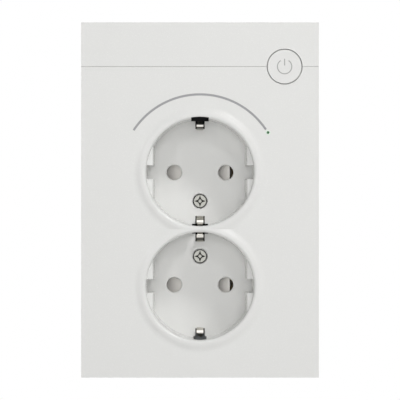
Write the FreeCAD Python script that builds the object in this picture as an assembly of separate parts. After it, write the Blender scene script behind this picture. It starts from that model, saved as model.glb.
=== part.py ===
"""Double smart wall socket with earth clips and sliding child shutters.

Units are millimetres. X points right, Y into the wall and Z up. The origin is on the wall plane,
midway between the two wall-box screws, and the front faces -Y.
"""
import FreeCAD
import Part
import math
import os

Vector = FreeCAD.Vector
ALONG_X, ALONG_Y, ALONG_Z = Vector(1, 0, 0), Vector(0, 1, 0), Vector(0, 0, 1)

# Clearances
SEAM_GAP = 0.1        # line between the front cover and the top cap
SLIDE_GAP = 0.2       # beside and over a sliding piece
STOP_GAP = 0.1        # between a stop and the face it meets
RUN_GAP = 0.1         # radial, a stem in its guide
FACE_GAP = 0.1        # between two fixed pieces that don't touch
COVER_GAP = 0.5       # between the inside of the cover and what it covers
PART_GAP = 0.5        # between neighbours on the circuit board
OVERCUT = 1.0         # how far a cutter stands out of what it cuts
OVERLAP = 0.5         # how far one block reaches into the next before they are joined
BEND_SHARE = 0.45     # most of a straight run that one bend at its end takes

# Depths: the stack from the wall forward to the front plate
FRAME_SHEET = 1.0
TRAY_SHEET = 1.2
SHUTTER_DEPTH = 3.1
FLOOR_WALL = 1.8
RECESS_DEPTH = 17.5
LIP_RISE = 0.6
PLATE_WALL = 2.2
FRAME_Y = (-FRAME_SHEET, 0.0)
TRAY_Y = (FRAME_Y[0] - TRAY_SHEET, FRAME_Y[0])
PAD_BACK = TRAY_Y[0] - SLIDE_GAP
PAD_FRONT = PAD_BACK - SHUTTER_DEPTH
FLOOR_BACK = PAD_FRONT - SLIDE_GAP
FLOOR_Y = FLOOR_BACK - FLOOR_WALL
LIP_Y = FLOOR_Y - RECESS_DEPTH
FRONT_Y = LIP_Y + LIP_RISE
PLATE_BACK = FRONT_Y + PLATE_WALL

# Socket recesses
RIM_R = 19.55
SHARED_WALL = 2.2
SOCKET_PITCH = 2 * RIM_R + SHARED_WALL
SOCKET_Z = SOCKET_PITCH / 2
SOCKET_ZS = (SOCKET_Z, -SOCKET_Z)
RIM_DRAFT = 0.35
FLOOR_R = RIM_R - RIM_DRAFT
CUP_WALL = 1.3
CUP_R = RIM_R + CUP_WALL
LIP_ROUND = 1.05
LIP_RUN = 3.4
LIP_CREST_R = RIM_R + LIP_ROUND
LIP_R = LIP_CREST_R + LIP_RUN
FLAT_INSET = 2.5
FLAT_DRAFT = 0.45
FLAT_X = RIM_R - FLAT_INSET
FLAT_FLOOR_X = FLAT_X - FLAT_DRAFT
FLAT_Z = 11.0
FLAT_Y = LIP_Y + 3.0
FLAT_BEVEL = 0.4
GROOVE = 5.0
PIN_X = 9.5
PIN_HOLE_R = 2.75
PIN_CHAMFER = 0.35

# Earth clips; each line point is (depth in front of the floor, radius)
CLIP_WIDTH = 2.5
CLIP_NECK = 1.9
CLIP_SHEET = 0.6
CLIP_EASE = 0.4
CLIP_ROOT_R = RIM_R - 2.25
CLIP_KNEE = 1.5
OUTER_BENDS = ((5.0, RIM_R - 3.9), (10.0, RIM_R - 2.65), (6.0, RIM_R - 1.15))
INNER_BENDS = ((5.0, RIM_R - 3.3), (10.0, RIM_R - 1.45), (7.0, RIM_R - 0.3))
CREST_HALF = 0.5
WINDOW_INNER_R = RIM_R - 0.7
WINDOWS = {
    "top": ((3.2, RIM_R + 0.5, LIP_Y - OVERCUT), (3.2, RIM_R + 1.65, LIP_Y + 2.4)),
    "shared": ((2.95, RIM_R + SHARED_WALL / 2 + 0.6, LIP_Y + 2.4),),
    "bottom": ((2.35, RIM_R + 1.65, LIP_Y + 3.9),),
}
SLOT_WIDTH = 3.4
SLOT_R = (RIM_R - 3.55, RIM_R + 0.05)

# Cover screws and their inserts
SCREW_Z = 10.15
SCREW_HEAD_R = 2.5
SCREW_HEAD_BEVEL = 0.3
SCREW_HEAD_Y = FLOOR_Y + 0.3
SCREW_SEAT_Y = FLOOR_Y + 1.9
SCREW_WELL_R = 2.85
SCREW_R = 1.5
SCREW_HOLE_R = 1.7
BOSS_R = SCREW_WELL_R + 0.55
COVER_SCREW_CROSS = (2.15, 0.7, 1.3)
CROSS_FLOOR = 0.3
CROSS_EYE = (0.95, 0.5)
POST_R = 4.2
INSERT_R = 2.5
INSERT_Y = (0.5, 9.0)
SCREW_END_Y = INSERT_Y[1] - 1.0

# Contacts
TULIP_R = 2.9
TULIP_BORE_R = 2.35
TULIP_Y = (0.6, 12.0)
TULIP_SLIT = 0.7
TULIP_SLIT_END = 8.0
PAD_R = 3.4
SHEET = 0.8
WEB_Y = 10.4
WEB_HALF = 2.0
CONTACT_RAIL_X = 14.3
RAIL_STRIP_Y = (5.0, 9.8)
RAIL_STUB_HALF = 4.0
SWITCHED_WEB = 2.4
LINE_PLATE_Z = (SOCKET_Z - 5.75, SOCKET_Z - 3.65)
NEUTRAL_TAB = (-6.6, -4.2)
LINE_TAB = (3.8, 5.9)
SWITCHED_TAB = (17.4, 19.6)
SWITCHED_RISER_Z = SOCKET_Z - 4.05
TAB_GAP = 0.3

# Base housing behind the frame, round the contacts
BASE_ROOM = 1.7
BASE_WALL = 1.2
BASE_R = math.hypot(PIN_X, SOCKET_Z) + PAD_R + BASE_ROOM + BASE_WALL
BASE_X = SWITCHED_TAB[1] + BASE_ROOM + BASE_WALL
BASE_BACK_Y = (18.5, 20.0)
BASE_FRONT_Y = FRAME_Y[0]
POST_FRONT_Y = -0.1
EAR_PLATE = 1.6
EAR_R = 3.2
EAR_REACH = BASE_R + 0.5
RIVET_X = BASE_X + 3.7
RIVET_Z = 8.5
RIVET_R = 1.2
RIVET_HEAD_R = 1.9
RIVET_HEAD = 0.7

# Shutter tray, in the opening of the frame
FRAME_OPEN_X = BASE_X + 0.5
FRAME_OPEN_Z = BASE_R + 2.0
TRAY_X = FRAME_OPEN_X + 1.2
TRAY_Z = BASE_R - 1.5
TRAY_PIN_R = 2.6
RISER_Z = TRAY_Z - 1.55

# Shutters: both slide to +X
SHUTTER_TRAVEL = 6.1
PAD_HALF = 3.9
CHEEK_HALF = 2.9
RAMP_FOOT = PAD_BACK - 0.5
BRIDGE_FRONT = PAD_BACK - 1.2
LEFT_PAD = (-PIN_X - PIN_HOLE_R - 0.35, -PIN_X + PIN_HOLE_R + 0.45)
RIGHT_PAD = (PIN_X - PIN_HOLE_R - 0.45, PIN_X + 1.45)
APERTURE = (PIN_X - PIN_HOLE_R - SHUTTER_TRAVEL - 0.05, RIGHT_PAD[0])
APERTURE_HALF = 2.65
RAIL_OFFSET = (PAD_HALF + SLIDE_GAP, PAD_HALF + SLIDE_GAP + 0.9)
RAIL_FRONT = FLOOR_BACK + FACE_GAP
RAIL_END_X = PIN_X + 5.5
STOP_X = (LEFT_PAD[0] - STOP_GAP - 1.0, LEFT_PAD[0] - STOP_GAP)
STOP_HALF = 2.5
SPRING_SLOT_HALF = 1.4
SPRING_R = 1.0
SPRING_WIRE_R = 0.15
SPRING_TURNS = 8
SPRING_Y = (PAD_FRONT + PAD_BACK) / 2
SEAT_X = (3.2, 4.1)
SEAT_HALF = SPRING_SLOT_HALF - SLIDE_GAP
SEAT_PIN_R = 0.7
SEAT_PIN = 1.0

# Earth strap on the steel frame
STRAP_WIDTH = 6.0
STRAP_SHEET = 0.8
STRAP_Y = FRAME_Y[0] + FACE_GAP
STRAP_STEP_Z = (TRAY_Z + 0.5, TRAY_Z + 2.0)
STRAP_END_Z = SOCKET_Z + CLIP_ROOT_R + 0.65
STRAP_HOLE_R = 1.9
STRAP_RIVET_Z = FRAME_OPEN_Z + 2.3
EARTH_POST_X = 2.4
EARTH_POST_Z = 1.0
INNER_CLIP_BASE_Z = 5.0

# Arc light and status light
ARC_Z = SOCKET_Z - 0.6
ARC_R = LIP_R + 4.7
ARC_TOP_Z = ARC_Z + ARC_R
ARC_WIDTH = 0.8
ARC_ANGLES = (33.8, 146.8)
ARC_FLANGE_R = (ARC_R - 1.35, ARC_R + 1.35)
ARC_FLANGE_ANGLES = (35.2, 145.4)
ARC_FLANGE_BACK = PLATE_BACK + 1.4
ARC_LEGS = (50.0, 90.0, 130.0)
LEG_R = 1.2
STATUS_R = ARC_R + 0.07
STATUS_ANGLE = 31.2
STATUS_TIP_R = 0.5
STATUS_BODY_R = 1.25

# Heights of what lies above the recesses
RELAY_WIDTH = 15.7
RELAY_Z = (ARC_TOP_Z + 5.75, ARC_TOP_Z + 5.75 + RELAY_WIDTH)
SHELL_WALL = 1.2
SHELL_Z = (SOCKET_Z + 8.15, RELAY_Z[1] + 0.9 + SHELL_WALL)

# Front plate
PLATE_WIDTH = 86.0
HALF_WIDTH = PLATE_WIDTH / 2
SKIRT_WALL = 2.0
PLATE_MARGIN = 9.05
PLATE_TOP = SHELL_Z[1] + COVER_GAP + SKIRT_WALL
PLATE_BOTTOM = -SOCKET_Z - LIP_R - PLATE_MARGIN
SEAM_Z = ARC_TOP_Z + 10.05

# Push button
BUTTON_MARGIN = 12.4
BUTTON_X = HALF_WIDTH - BUTTON_MARGIN
BUTTON_R = 6.12
BUTTON_HOLE_R = 6.48
BUTTON_FLANGE_R = BUTTON_HOLE_R + 0.72
BUTTON_FLANGE = 1.0
STEM_R = 1.5

# Cover tongue behind the cap, with its snap hooks
TONGUE_X = HALF_WIDTH - SKIRT_WALL - 0.6
TONGUE_Z = (SEAM_Z - 2.8, SEAM_Z + 3.4)
TONGUE_BACK = PLATE_BACK + 1.2
HOOK_X = BUTTON_X - 10.6
HOOK_SLOT = (4.0, SEAM_Z + 0.5, SEAM_Z + 1.9)
HOOK_STEM = (3.4, SEAM_Z + 0.7, SEAM_Z + 1.5)
HOOK_HEAD_Z = SEAM_Z + 2.5
HOOK_HEAD_Y = (TONGUE_BACK + FACE_GAP, TONGUE_BACK + 0.7)

# Outline of the steel mounting frame
FRAME_X = HALF_WIDTH - SKIRT_WALL - COVER_GAP
FRAME_Z = (PLATE_BOTTOM + SKIRT_WALL + COVER_GAP, PLATE_TOP - SKIRT_WALL - COVER_GAP)
FRAME_CORNER = 3.0
BOX_SCREW_X = 30.0
BOX_SLOT = 7.0
BOX_SLOT_R = 1.9

# Screwless terminals
TERMINAL_XS = {"line": 15.0, "earth": 0.0, "neutral": -15.0}
CAGE_HALF_X = 4.0
CAGE_HALF_Z = SCREW_Z - POST_R - 0.15
CAGE_FRONT_Y = 10.2
CAGE_SHEET = 0.6
WIRE_HOLE_R = 1.5
WIRE_HOLE_Z = 3.1
WIRE_HOLE_OFFSET = 1.75
RELEASE_HALF_X = 2.3
RELEASE_Z = (-4.4, -0.4)
RELEASE_Y = (12.5, 20.6)
RELEASE_FLANGE_Y = (16.8, 18.3)
RELEASE_FLANGE = 0.3
LEAF_LINE = ((17.5, -5.02), (11.6, -5.02), (11.75, -0.2), (15.2, 4.3))
LEAF_SHEET = 0.35
LEAF_HALF = 3.0
LEAF_EASE = 1.0

# Electronics shell and circuit board
SHELL_ROOM = 1.35
SHELL_CUT_R = CUP_R + SHELL_ROOM
SHELL_X = HALF_WIDTH - SKIRT_WALL - 0.7
SHELL_FRONT = PLATE_BACK + 2.0
LID_BACK = SHELL_FRONT + SHELL_WALL
SHELL_FLOOR_Y = FRAME_Y[0] - SHELL_WALL
SHELL_TONGUE_HALF = 4.2
BOARD_SHEET = 1.6
BOARD_Y = (SHELL_FLOOR_Y - 2 * BOARD_SHEET, SHELL_FLOOR_Y - BOARD_SHEET)
TAB_Y = BOARD_Y[1]
TAB_TOP_Z = ARC_TOP_Z
SWITCHED_TAB_TOP_Z = ARC_TOP_Z - 7.0
TAB_SLOT_Z = (ARC_TOP_Z - 11.0, ARC_TOP_Z - 2.0)
SWITCHED_SLOT_Z = (SHELL_Z[0], SHELL_Z[0] + 9.2)
POST_INSET = 3.6
SCREW_ROW_Z = SHELL_Z[1] - 4.3
SHELL_POSTS = tuple((side * (SHELL_X - POST_INSET), z)
                    for z in (SHELL_Z[0] + 4.7, SCREW_ROW_Z) for side in (-1, 1))
SHELL_POST_R = 2.6
SHOULDER_R = 3.4
LID_SCREW_R = 1.1
LID_HEAD_R = 2.0
LID_SCREW_END = LID_BACK + 6.6
SHELL_SCREWS = ((-22.0, SCREW_ROW_Z), (22.0, SCREW_ROW_Z))
SHELL_SCREW_R = 1.2
SHELL_HEAD_R = 2.2
SMALL_HEAD = 1.1
SMALL_SCREW_CROSS = (1.3, 0.4, 0.7)

# Relay, with depths counted from the inside of the lid
RELAY_LENGTH = 27.5
RELAY_X = (6.8 - SHELL_X, 6.8 - SHELL_X + RELAY_LENGTH)
RELAY_FRONT = LID_BACK + 0.6
RELAY_WALL = 0.8
RELAY_BASE = 1.2
COIL_X = RELAY_X[0] + 13.5
COIL_R = 5.2
BOBBIN_R = 5.8
BOBBIN_FLANGE = 0.7
COIL_FRONT = RELAY_FRONT + 3.1
CORE_R = 2.2
CORE_FRONT = RELAY_FRONT + 2.5
YOKE_X = (COIL_X + 6.1, COIL_X + 7.3)
YOKE_HALF = 4.0
YOKE_SHEET = 1.2
YOKE_FRONT = RELAY_FRONT + 2.0
ARMATURE_X = (COIL_X - 6.0, YOKE_X[0] + 0.6)
ARMATURE_Y = (YOKE_FRONT - 0.9, YOKE_FRONT - 0.1)
CONTACT_ARM = 0.3
CONTACT_ARM_HALF = 2.5
CONTACT_X = RELAY_X[0] + 3.5
CONTACT_R = 1.2
CONTACT_HEIGHT = 0.7
CONTACT_ARM_X = (CONTACT_X - 1.0, CONTACT_X + 6.5)
FIXED_CONTACT_FRONT = RELAY_FRONT + 3.95
FIXED_PLATE_X = (CONTACT_X - 2.0, CONTACT_X + 1.5)
FIXED_SHEET = 0.6

# Other parts on the circuit board
LEAD_R = 0.4
CAPACITOR_X = (3.3 - SHELL_X, 19.3 - SHELL_X)
CAPACITOR_Z = (ARC_TOP_Z - 4.5, ARC_TOP_Z + 3.5)
CAPACITOR_FRONT = LID_BACK + 1.1
CAPACITOR_ROUND = 0.8
TRANSFORMER_WIDTH = 15.0
TRANSFORMER_X = (RELAY_X[1] + PART_GAP, RELAY_X[1] + PART_GAP + TRANSFORMER_WIDTH)
TRANSFORMER_Z = (RELAY_Z[0] + 2.5, RELAY_Z[1] - 0.2)
TRANSFORMER_Y = (LID_BACK + 1.1, BOARD_Y[0] - 1.0)
CORE_LIMB = 3.0
WINDING_GAP = 0.4
BULK_R = 4.0
BULK_X = TRANSFORMER_X[1] + BULK_R + 1.0
BULK_SPOTS = ((BULK_X, RELAY_Z[0] + 10.0), (BULK_X, RELAY_Z[0]))
BULK_FRONT = LID_BACK + 1.6
BULK_GROOVE = 0.4
VARISTOR_R = 5.0
VARISTOR_AT = (CAPACITOR_X[1] + 2.5 + VARISTOR_R, ARC_TOP_Z - 0.5)
VARISTOR_HALF = 1.7
VARISTOR_Y = BOARD_Y[0] - 5.2
FUSE_X = (CAPACITOR_X[1] + 4.5, CAPACITOR_X[1] + 12.5)
FUSE_Z = ARC_TOP_Z + 3.7
FUSE_R = 1.5
FUSE_Y = BOARD_Y[0] - 1.8
FUSE_REACH = 2.4
FUSE_BEND_R = 0.8
RADIO_X = (SHELL_X - 14.8, SHELL_X - 1.8)
RADIO_Z = (SEAM_Z - 20.3, SEAM_Z - 4.3)
RADIO_BOARD = 0.8
SHIELD_X = (RADIO_X[0] + 0.8, RADIO_X[1] - 0.8)
SHIELD_Z = (RADIO_Z[0] + 0.7, RADIO_Z[0] + 10.1)
SHIELD_HEIGHT = 2.4
SHIELD_WALL = 0.3
POWER_CHIPS = (((7.3 - SHELL_X, 13.3 - SHELL_X), (SHELL_Z[0] + 7.7, SHELL_Z[0] + 12.7)),
               ((RADIO_X[0] - 5.0, RADIO_X[0] - 1.0), (ARC_TOP_Z - 3.0, ARC_TOP_Z + 2.0)))
CHIP_HEIGHT = 1.5
SWITCH_HALF = 3.0
SWITCH_FRONT = BOARD_Y[0] - 3.5
SWITCH_BORE_END = BOARD_Y[0] - 1.0
PLUNGER_R = 1.7
PLUNGER_Y = (SWITCH_FRONT - 1.0, SWITCH_BORE_END - 0.7)
LAMP_HALF = (1.5, 1.4)
LAMP_HEIGHT = 1.5
STATUS_LAMP_HALF = (1.0, 0.6)
STATUS_LAMP_HEIGHT = 1.0
GUIDE_END_Y = BOARD_Y[0] - LAMP_HEIGHT - 0.6


def box(x, y, z):
    """A block between three (low, high) pairs."""
    return Part.makeBox(x[1] - x[0], y[1] - y[0], z[1] - z[0], Vector(x[0], y[0], z[0]))


def around(middle, half):
    """The (low, high) pair about a middle."""
    return (middle - half, middle + half)


def rod(x, z, radius, y):
    """A cylinder along Y."""
    return Part.makeCylinder(radius, y[1] - y[0], Vector(x, y[0], z), ALONG_Y)


def cone(x, z, front_radius, back_radius, y):
    """A cone along Y."""
    return Part.makeCone(front_radius, back_radius, y[1] - y[0], Vector(x, y[0], z), ALONG_Y)


def joined(shapes):
    """All shapes as one solid."""
    whole = shapes[0].fuse(list(shapes[1:])) if len(shapes) > 1 else shapes[0]
    return whole.removeSplitter()


def face_of(points):
    """A face inside an outline; a (middle, end) pair stands for an arc."""
    edges, last = [], points[0]
    for step in points[1:]:
        if isinstance(step, tuple):
            edges.append(Part.Arc(last, *step).toShape())
            last = step[1]
        else:
            edges.append(Part.makeLine(last, step))
            last = step
    edges.append(Part.makeLine(last, points[0]))
    return Part.Face(Part.Wire(edges))


def slab_x(points, x):
    """A prism along X over an outline of (y, z) points."""
    face = face_of([Vector(x[0], y, z) for y, z in points])
    return face.extrude(Vector(x[1] - x[0], 0, 0))


def slab_y(points, y):
    """A prism along Y over an outline of (x, z) points."""
    face = face_of([Vector(x, y[0], z) for x, z in points])
    return face.extrude(Vector(0, y[1] - y[0], 0))


def slab_z(points, z):
    """A prism along Z over an outline of (x, y) points."""
    face = face_of([Vector(x, y, z[0]) for x, y in points])
    return face.extrude(Vector(0, 0, z[1] - z[0]))


def turned(face, x, z):
    """A face in the (radius, y) plane turned about the Y axis, then moved to its centre."""
    shape = face.revolve(Vector(0, 0, 0), ALONG_Y, 360)
    shape.translate(Vector(x, 0, z))
    return shape


def polar(radius, degrees, z):
    """The (x, z) point at a radius and an angle from +X about a centre on x = 0."""
    angle = math.radians(degrees)
    return radius * math.cos(angle), z + radius * math.sin(angle)


def arc_band(radii, degrees, z, y):
    """A part of a ring about a centre on x = 0."""
    middle = (degrees[0] + degrees[1]) / 2

    def spot(radius, angle):
        across, up = polar(radius, angle, z)
        return Vector(across, y[0], up)

    face = face_of([
        spot(radii[0], degrees[0]),
        (spot(radii[0], middle), spot(radii[0], degrees[1])),
        spot(radii[1], degrees[1]),
        (spot(radii[1], middle), spot(radii[1], degrees[0])),
    ])
    return face.extrude(Vector(0, y[1] - y[0], 0))


def eased(points, reach, steps=4):
    """A polyline whose corners are rounded by short chords."""
    line = [points[0]]
    for before, corner, after in zip(points, points[1:], points[2:]):
        start = pulled(corner, before, reach)
        end = pulled(corner, after, reach)
        for step in range(steps + 1):
            part = step / steps
            line.append(tuple(
                (1 - part) ** 2 * a + 2 * part * (1 - part) * b + part ** 2 * c
                for a, b, c in zip(start, corner, end)))
    return line + [points[-1]]


def pulled(corner, towards, reach):
    """The point at a reach from a corner on the way to its neighbour."""
    length = math.dist(corner, towards)
    share = min(reach, BEND_SHARE * length) / length
    return tuple(a + (b - a) * share for a, b in zip(corner, towards))


def band(points, sheet):
    """The closed outline of a bent strip of sheet along its centre line."""
    left, right = [], []
    for index, (a, b) in enumerate(points):
        before = unit(points[max(index - 1, 0)], points[max(index, 1)])
        after = unit(points[min(index, len(points) - 2)], points[min(index + 1, len(points) - 1)])
        lean = (before[0] + after[0], before[1] + after[1])
        size = math.hypot(*lean)
        across = (-lean[1] / size, lean[0] / size)
        half = sheet / 2 / (across[0] * -after[1] + across[1] * after[0])
        left.append((a + across[0] * half, b + across[1] * half))
        right.append((a - across[0] * half, b - across[1] * half))
    return left + right[::-1]


def unit(start, end):
    """The unit step between two points."""
    length = math.dist(start, end)
    return (end[0] - start[0]) / length, (end[1] - start[1]) / length


def cup_cavity(z):
    """The round recess with its rounded rim, as one cutting body."""
    rim_y = LIP_Y + LIP_ROUND
    bend = LIP_ROUND * math.sqrt(0.5)
    face = face_of([
        Vector(0, FLOOR_Y, 0),
        Vector(FLOOR_R, FLOOR_Y, 0),
        Vector(RIM_R, rim_y, 0),
        (Vector(LIP_CREST_R - bend, rim_y - bend, 0), Vector(LIP_CREST_R, LIP_Y, 0)),
        Vector(LIP_CREST_R, LIP_Y - OVERCUT, 0),
        Vector(0, LIP_Y - OVERCUT, 0),
    ])
    return turned(face, 0, z)


def cup_lip(z):
    """The soft raised ring around a recess."""
    inner, middle = RIM_R - CUP_WALL, (LIP_CREST_R + LIP_R) / 2
    slope = Part.BezierCurve()
    slope.setPoles([Vector(LIP_CREST_R, LIP_Y, 0), Vector(middle, LIP_Y, 0),
                    Vector(middle, FRONT_Y, 0), Vector(LIP_R, FRONT_Y, 0)])
    rest = Part.makePolygon([
        Vector(LIP_R, FRONT_Y, 0),
        Vector(LIP_R, FRONT_Y + OVERLAP, 0),
        Vector(inner, FRONT_Y + OVERLAP, 0),
        Vector(inner, LIP_Y, 0),
        Vector(LIP_CREST_R, LIP_Y, 0),
    ])
    face = Part.Face(Part.Wire([slope.toShape(), *rest.Edges]))
    return turned(face, 0, z)


def side_ledge(side, z):
    """The flat side guide of a recess, with its middle groove."""
    bend = FLAT_BEVEL * (1 - math.sqrt(0.5))
    wall_x = (RIM_R + CUP_R) / 2
    outside = wall_x + OVERCUT
    face = face_of([
        Vector(side * outside, FLAT_Y, z - FLAT_Z),
        Vector(side * (FLAT_X + FLAT_BEVEL), FLAT_Y, z - FLAT_Z),
        (Vector(side * (FLAT_X + bend), FLAT_Y + bend, z - FLAT_Z),
         Vector(side * FLAT_X, FLAT_Y + FLAT_BEVEL, z - FLAT_Z)),
        Vector(side * FLAT_FLOOR_X, FLOOR_Y + FLOOR_WALL / 2, z - FLAT_Z),
        Vector(side * outside, FLOOR_Y + FLOOR_WALL / 2, z - FLAT_Z),
    ])
    ledge = face.extrude(Vector(0, 0, 2 * FLAT_Z))
    ledge = ledge.common(rod(0, z, wall_x, (LIP_Y, FLOOR_BACK)))
    groove_x = sorted((side * (FLAT_FLOOR_X - OVERCUT), side * outside))
    return ledge.cut(box(groove_x, (LIP_Y, FLOOR_Y), around(z, GROOVE / 2)))


def earth_openings(z):
    """Windows in the wall and slots in the floor for the two earth clips of a recess."""
    outward = 1 if z > 0 else -1
    cutters = []
    for way in (1, -1):
        place = "shared" if way == -outward else "top" if z > 0 else "bottom"
        for half, reach, top in WINDOWS[place]:
            window = rod(0, z, reach, (top, FLOOR_BACK))
            side = sorted(z + way * r for r in (WINDOW_INNER_R, reach))
            cutters.append(window.common(box(around(0, half), (top, FLOOR_BACK), side)))
        slot = sorted(z + way * r for r in SLOT_R)
        cutters.append(box(around(0, SLOT_WIDTH / 2), (FLOOR_Y - OVERCUT, FLOOR_BACK), slot))
    return cutters


def pin_holes(z):
    """The two pin holes of a recess with their small chamfers."""
    cutters = []
    for x in (-PIN_X, PIN_X):
        cutters.append(rod(x, z, PIN_HOLE_R, (FLOOR_Y, FLOOR_BACK)))
        cutters.append(cone(x, z, PIN_HOLE_R + PIN_CHAMFER, PIN_HOLE_R,
                            (FLOOR_Y, FLOOR_Y + PIN_CHAMFER)))
    return cutters


def screw_well(z):
    """The hole and head recess of a cover screw."""
    return [rod(0, z, SCREW_WELL_R, (FLOOR_Y - OVERCUT, SCREW_SEAT_Y)),
            rod(0, z, SCREW_HOLE_R, (SCREW_SEAT_Y, TRAY_Y[0]))]


def button_hole():
    """The round hole on the seam that the push button stands in."""
    return rod(BUTTON_X, SEAM_Z, BUTTON_HOLE_R, (FRONT_Y, PLATE_BACK))


def cover_tongue():
    """The ledge behind the seam that the top cap snaps onto."""
    seam_edge = SEAM_Z - SEAM_GAP / 2
    tongue = joined([
        box(around(0, TONGUE_X), (PLATE_BACK, TONGUE_BACK), (TONGUE_Z[0], seam_edge)),
        box(around(0, TONGUE_X), (PLATE_BACK + FACE_GAP, TONGUE_BACK), (seam_edge, TONGUE_Z[1])),
    ])
    cutters = [rod(BUTTON_X, SEAM_Z, BUTTON_FLANGE_R + 2 * SLIDE_GAP, (PLATE_BACK, TONGUE_BACK))]
    for x in (-HOOK_X, HOOK_X):
        cutters.append(box(around(x, HOOK_SLOT[0] / 2), (PLATE_BACK, TONGUE_BACK), HOOK_SLOT[1:]))
    return tongue.cut(cutters)


def front_cover():
    """Plate, skirts and both recesses in one moulding."""
    seam_edge = SEAM_Z - SEAM_GAP / 2
    inner_x = HALF_WIDTH - SKIRT_WALL
    shell = box(around(0, HALF_WIDTH), (FRONT_Y, 0), (PLATE_BOTTOM, seam_edge)).cut(
        box(around(0, inner_x), (PLATE_BACK, 0), (PLATE_BOTTOM + SKIRT_WALL, seam_edge)))
    boss_y = (FLOOR_Y, TRAY_Y[0] - FACE_GAP)
    solids = [shell, cover_tongue()]
    solids += [rod(0, z, CUP_R, (FRONT_Y, FLOOR_BACK)) for z in SOCKET_ZS]
    solids += [cup_lip(z) for z in SOCKET_ZS]
    solids += [rod(0, z, BOSS_R, boss_y) for z in (SCREW_Z, -SCREW_Z)]
    body = joined(solids).cut([cup_cavity(z) for z in SOCKET_ZS])
    body = joined([body] + [side_ledge(side, z) for side in (1, -1) for z in SOCKET_ZS])
    cutters = [button_hole(), arc_slot(), status_hole()]
    for z in SOCKET_ZS:
        cutters += earth_openings(z) + pin_holes(z)
    for z in (SCREW_Z, -SCREW_Z):
        cutters += screw_well(z)
    return body.cut(cutters)


def arc_slot():
    """The thin bent line through the plate above the upper recess."""
    return arc_band(around(ARC_R, ARC_WIDTH / 2), ARC_ANGLES, ARC_Z, (FRONT_Y, PLATE_BACK))


def status_hole():
    """The small hole of the status light."""
    x, z = polar(STATUS_R, STATUS_ANGLE, ARC_Z)
    return rod(x, z, STATUS_TIP_R, (FRONT_Y, PLATE_BACK))


def top_cap():
    """The separate strip above the seam with its two snap hooks."""
    seam_edge = SEAM_Z + SEAM_GAP / 2
    cap = box(around(0, HALF_WIDTH), (FRONT_Y, 0), (seam_edge, PLATE_TOP)).cut(
        box(around(0, HALF_WIDTH - SKIRT_WALL), (PLATE_BACK, 0), (seam_edge, PLATE_TOP - SKIRT_WALL)))
    hook = [(PLATE_BACK, HOOK_STEM[1]), (PLATE_BACK, HOOK_STEM[2]), (HOOK_HEAD_Y[0], HOOK_STEM[2]),
            (HOOK_HEAD_Y[0], HOOK_HEAD_Z), (HOOK_HEAD_Y[1], HOOK_STEM[2]),
            (HOOK_HEAD_Y[1], HOOK_STEM[1])]
    hooks = [slab_x(hook, around(x, HOOK_STEM[0] / 2)) for x in (-HOOK_X, HOOK_X)]
    return joined([cap] + hooks).cut(button_hole())


def power_button():
    """The flush disc on the seam, its holding flange and the stem to the switch."""
    flange_y = (PLATE_BACK + SLIDE_GAP, PLATE_BACK + SLIDE_GAP + BUTTON_FLANGE)
    return joined([
        rod(BUTTON_X, SEAM_Z, BUTTON_R, (FRONT_Y, flange_y[0])),
        rod(BUTTON_X, SEAM_Z, BUTTON_FLANGE_R, flange_y),
        rod(BUTTON_X, SEAM_Z, STEM_R, (flange_y[1], PLUNGER_Y[0])),
    ])


def arc_light_guide():
    """The bent clear strip, its flange and three legs down to the lamps."""
    radii = around(ARC_R, ARC_WIDTH / 2)
    solids = [arc_band(radii, ARC_ANGLES, ARC_Z, (FRONT_Y, PLATE_BACK)),
              arc_band(ARC_FLANGE_R, ARC_FLANGE_ANGLES, ARC_Z, (PLATE_BACK, ARC_FLANGE_BACK))]
    for angle in ARC_LEGS:
        solids.append(rod(*polar(ARC_R, angle, ARC_Z), LEG_R, (ARC_FLANGE_BACK, GUIDE_END_Y)))
    return joined(solids)


def status_light_pipe():
    """The clear pin that carries the status light to the front."""
    x, z = polar(STATUS_R, STATUS_ANGLE, ARC_Z)
    return joined([rod(x, z, STATUS_TIP_R, (FRONT_Y, PLATE_BACK)),
                   rod(x, z, STATUS_BODY_R, (PLATE_BACK, GUIDE_END_Y))])


def rhomb_well(x, z, y, front_reach, back_reach):
    """A four-cornered well that narrows along Y; a reach is how far its corners lie on (x, z)."""
    rings = []
    for depth, (across, up) in zip(y, (front_reach, back_reach)):
        corners = [Vector(x + across, depth, z), Vector(x, depth, z + up),
                   Vector(x - across, depth, z), Vector(x, depth, z - up)]
        rings.append(Part.makePolygon(corners + corners[:1]))
    return Part.makeLoft(rings, True, True)


def cross_screw(x, z, seat_y, head, end_y, radius, cross):
    """A screw along Y; head is (radius, height), cross is (reach, half width, depth) of its recess."""
    front = seat_y - head[1]
    solid = joined([
        cone(x, z, head[0] - SCREW_HEAD_BEVEL, head[0], (front, front + SCREW_HEAD_BEVEL)),
        rod(x, z, head[0], (front + SCREW_HEAD_BEVEL, seat_y)),
        rod(x, z, radius, (seat_y, end_y)),
    ])
    reach, half, depth = cross
    y = (front, front + depth)
    arms = [rhomb_well(x, z, y, corner, [size * CROSS_FLOOR for size in corner])
            for corner in ((reach, half), (half, reach))]
    eye = rhomb_well(x, z, y, *[(2 * half * share,) * 2 for share in CROSS_EYE])
    return solid.cut(arms + [eye])


def cover_screws():
    """The two screws that hold the front cover to the base housing."""
    head = (SCREW_HEAD_R, SCREW_SEAT_Y - SCREW_HEAD_Y)
    return [cross_screw(0, z, SCREW_SEAT_Y, head, SCREW_END_Y, SCREW_R, COVER_SCREW_CROSS)
            for z in (SCREW_Z, -SCREW_Z)]


def threaded_inserts():
    """The two brass inserts that the cover screws turn into."""
    return [rod(0, z, INSERT_R, INSERT_Y).cut(rod(0, z, SCREW_R, INSERT_Y))
            for z in (SCREW_Z, -SCREW_Z)]


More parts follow.
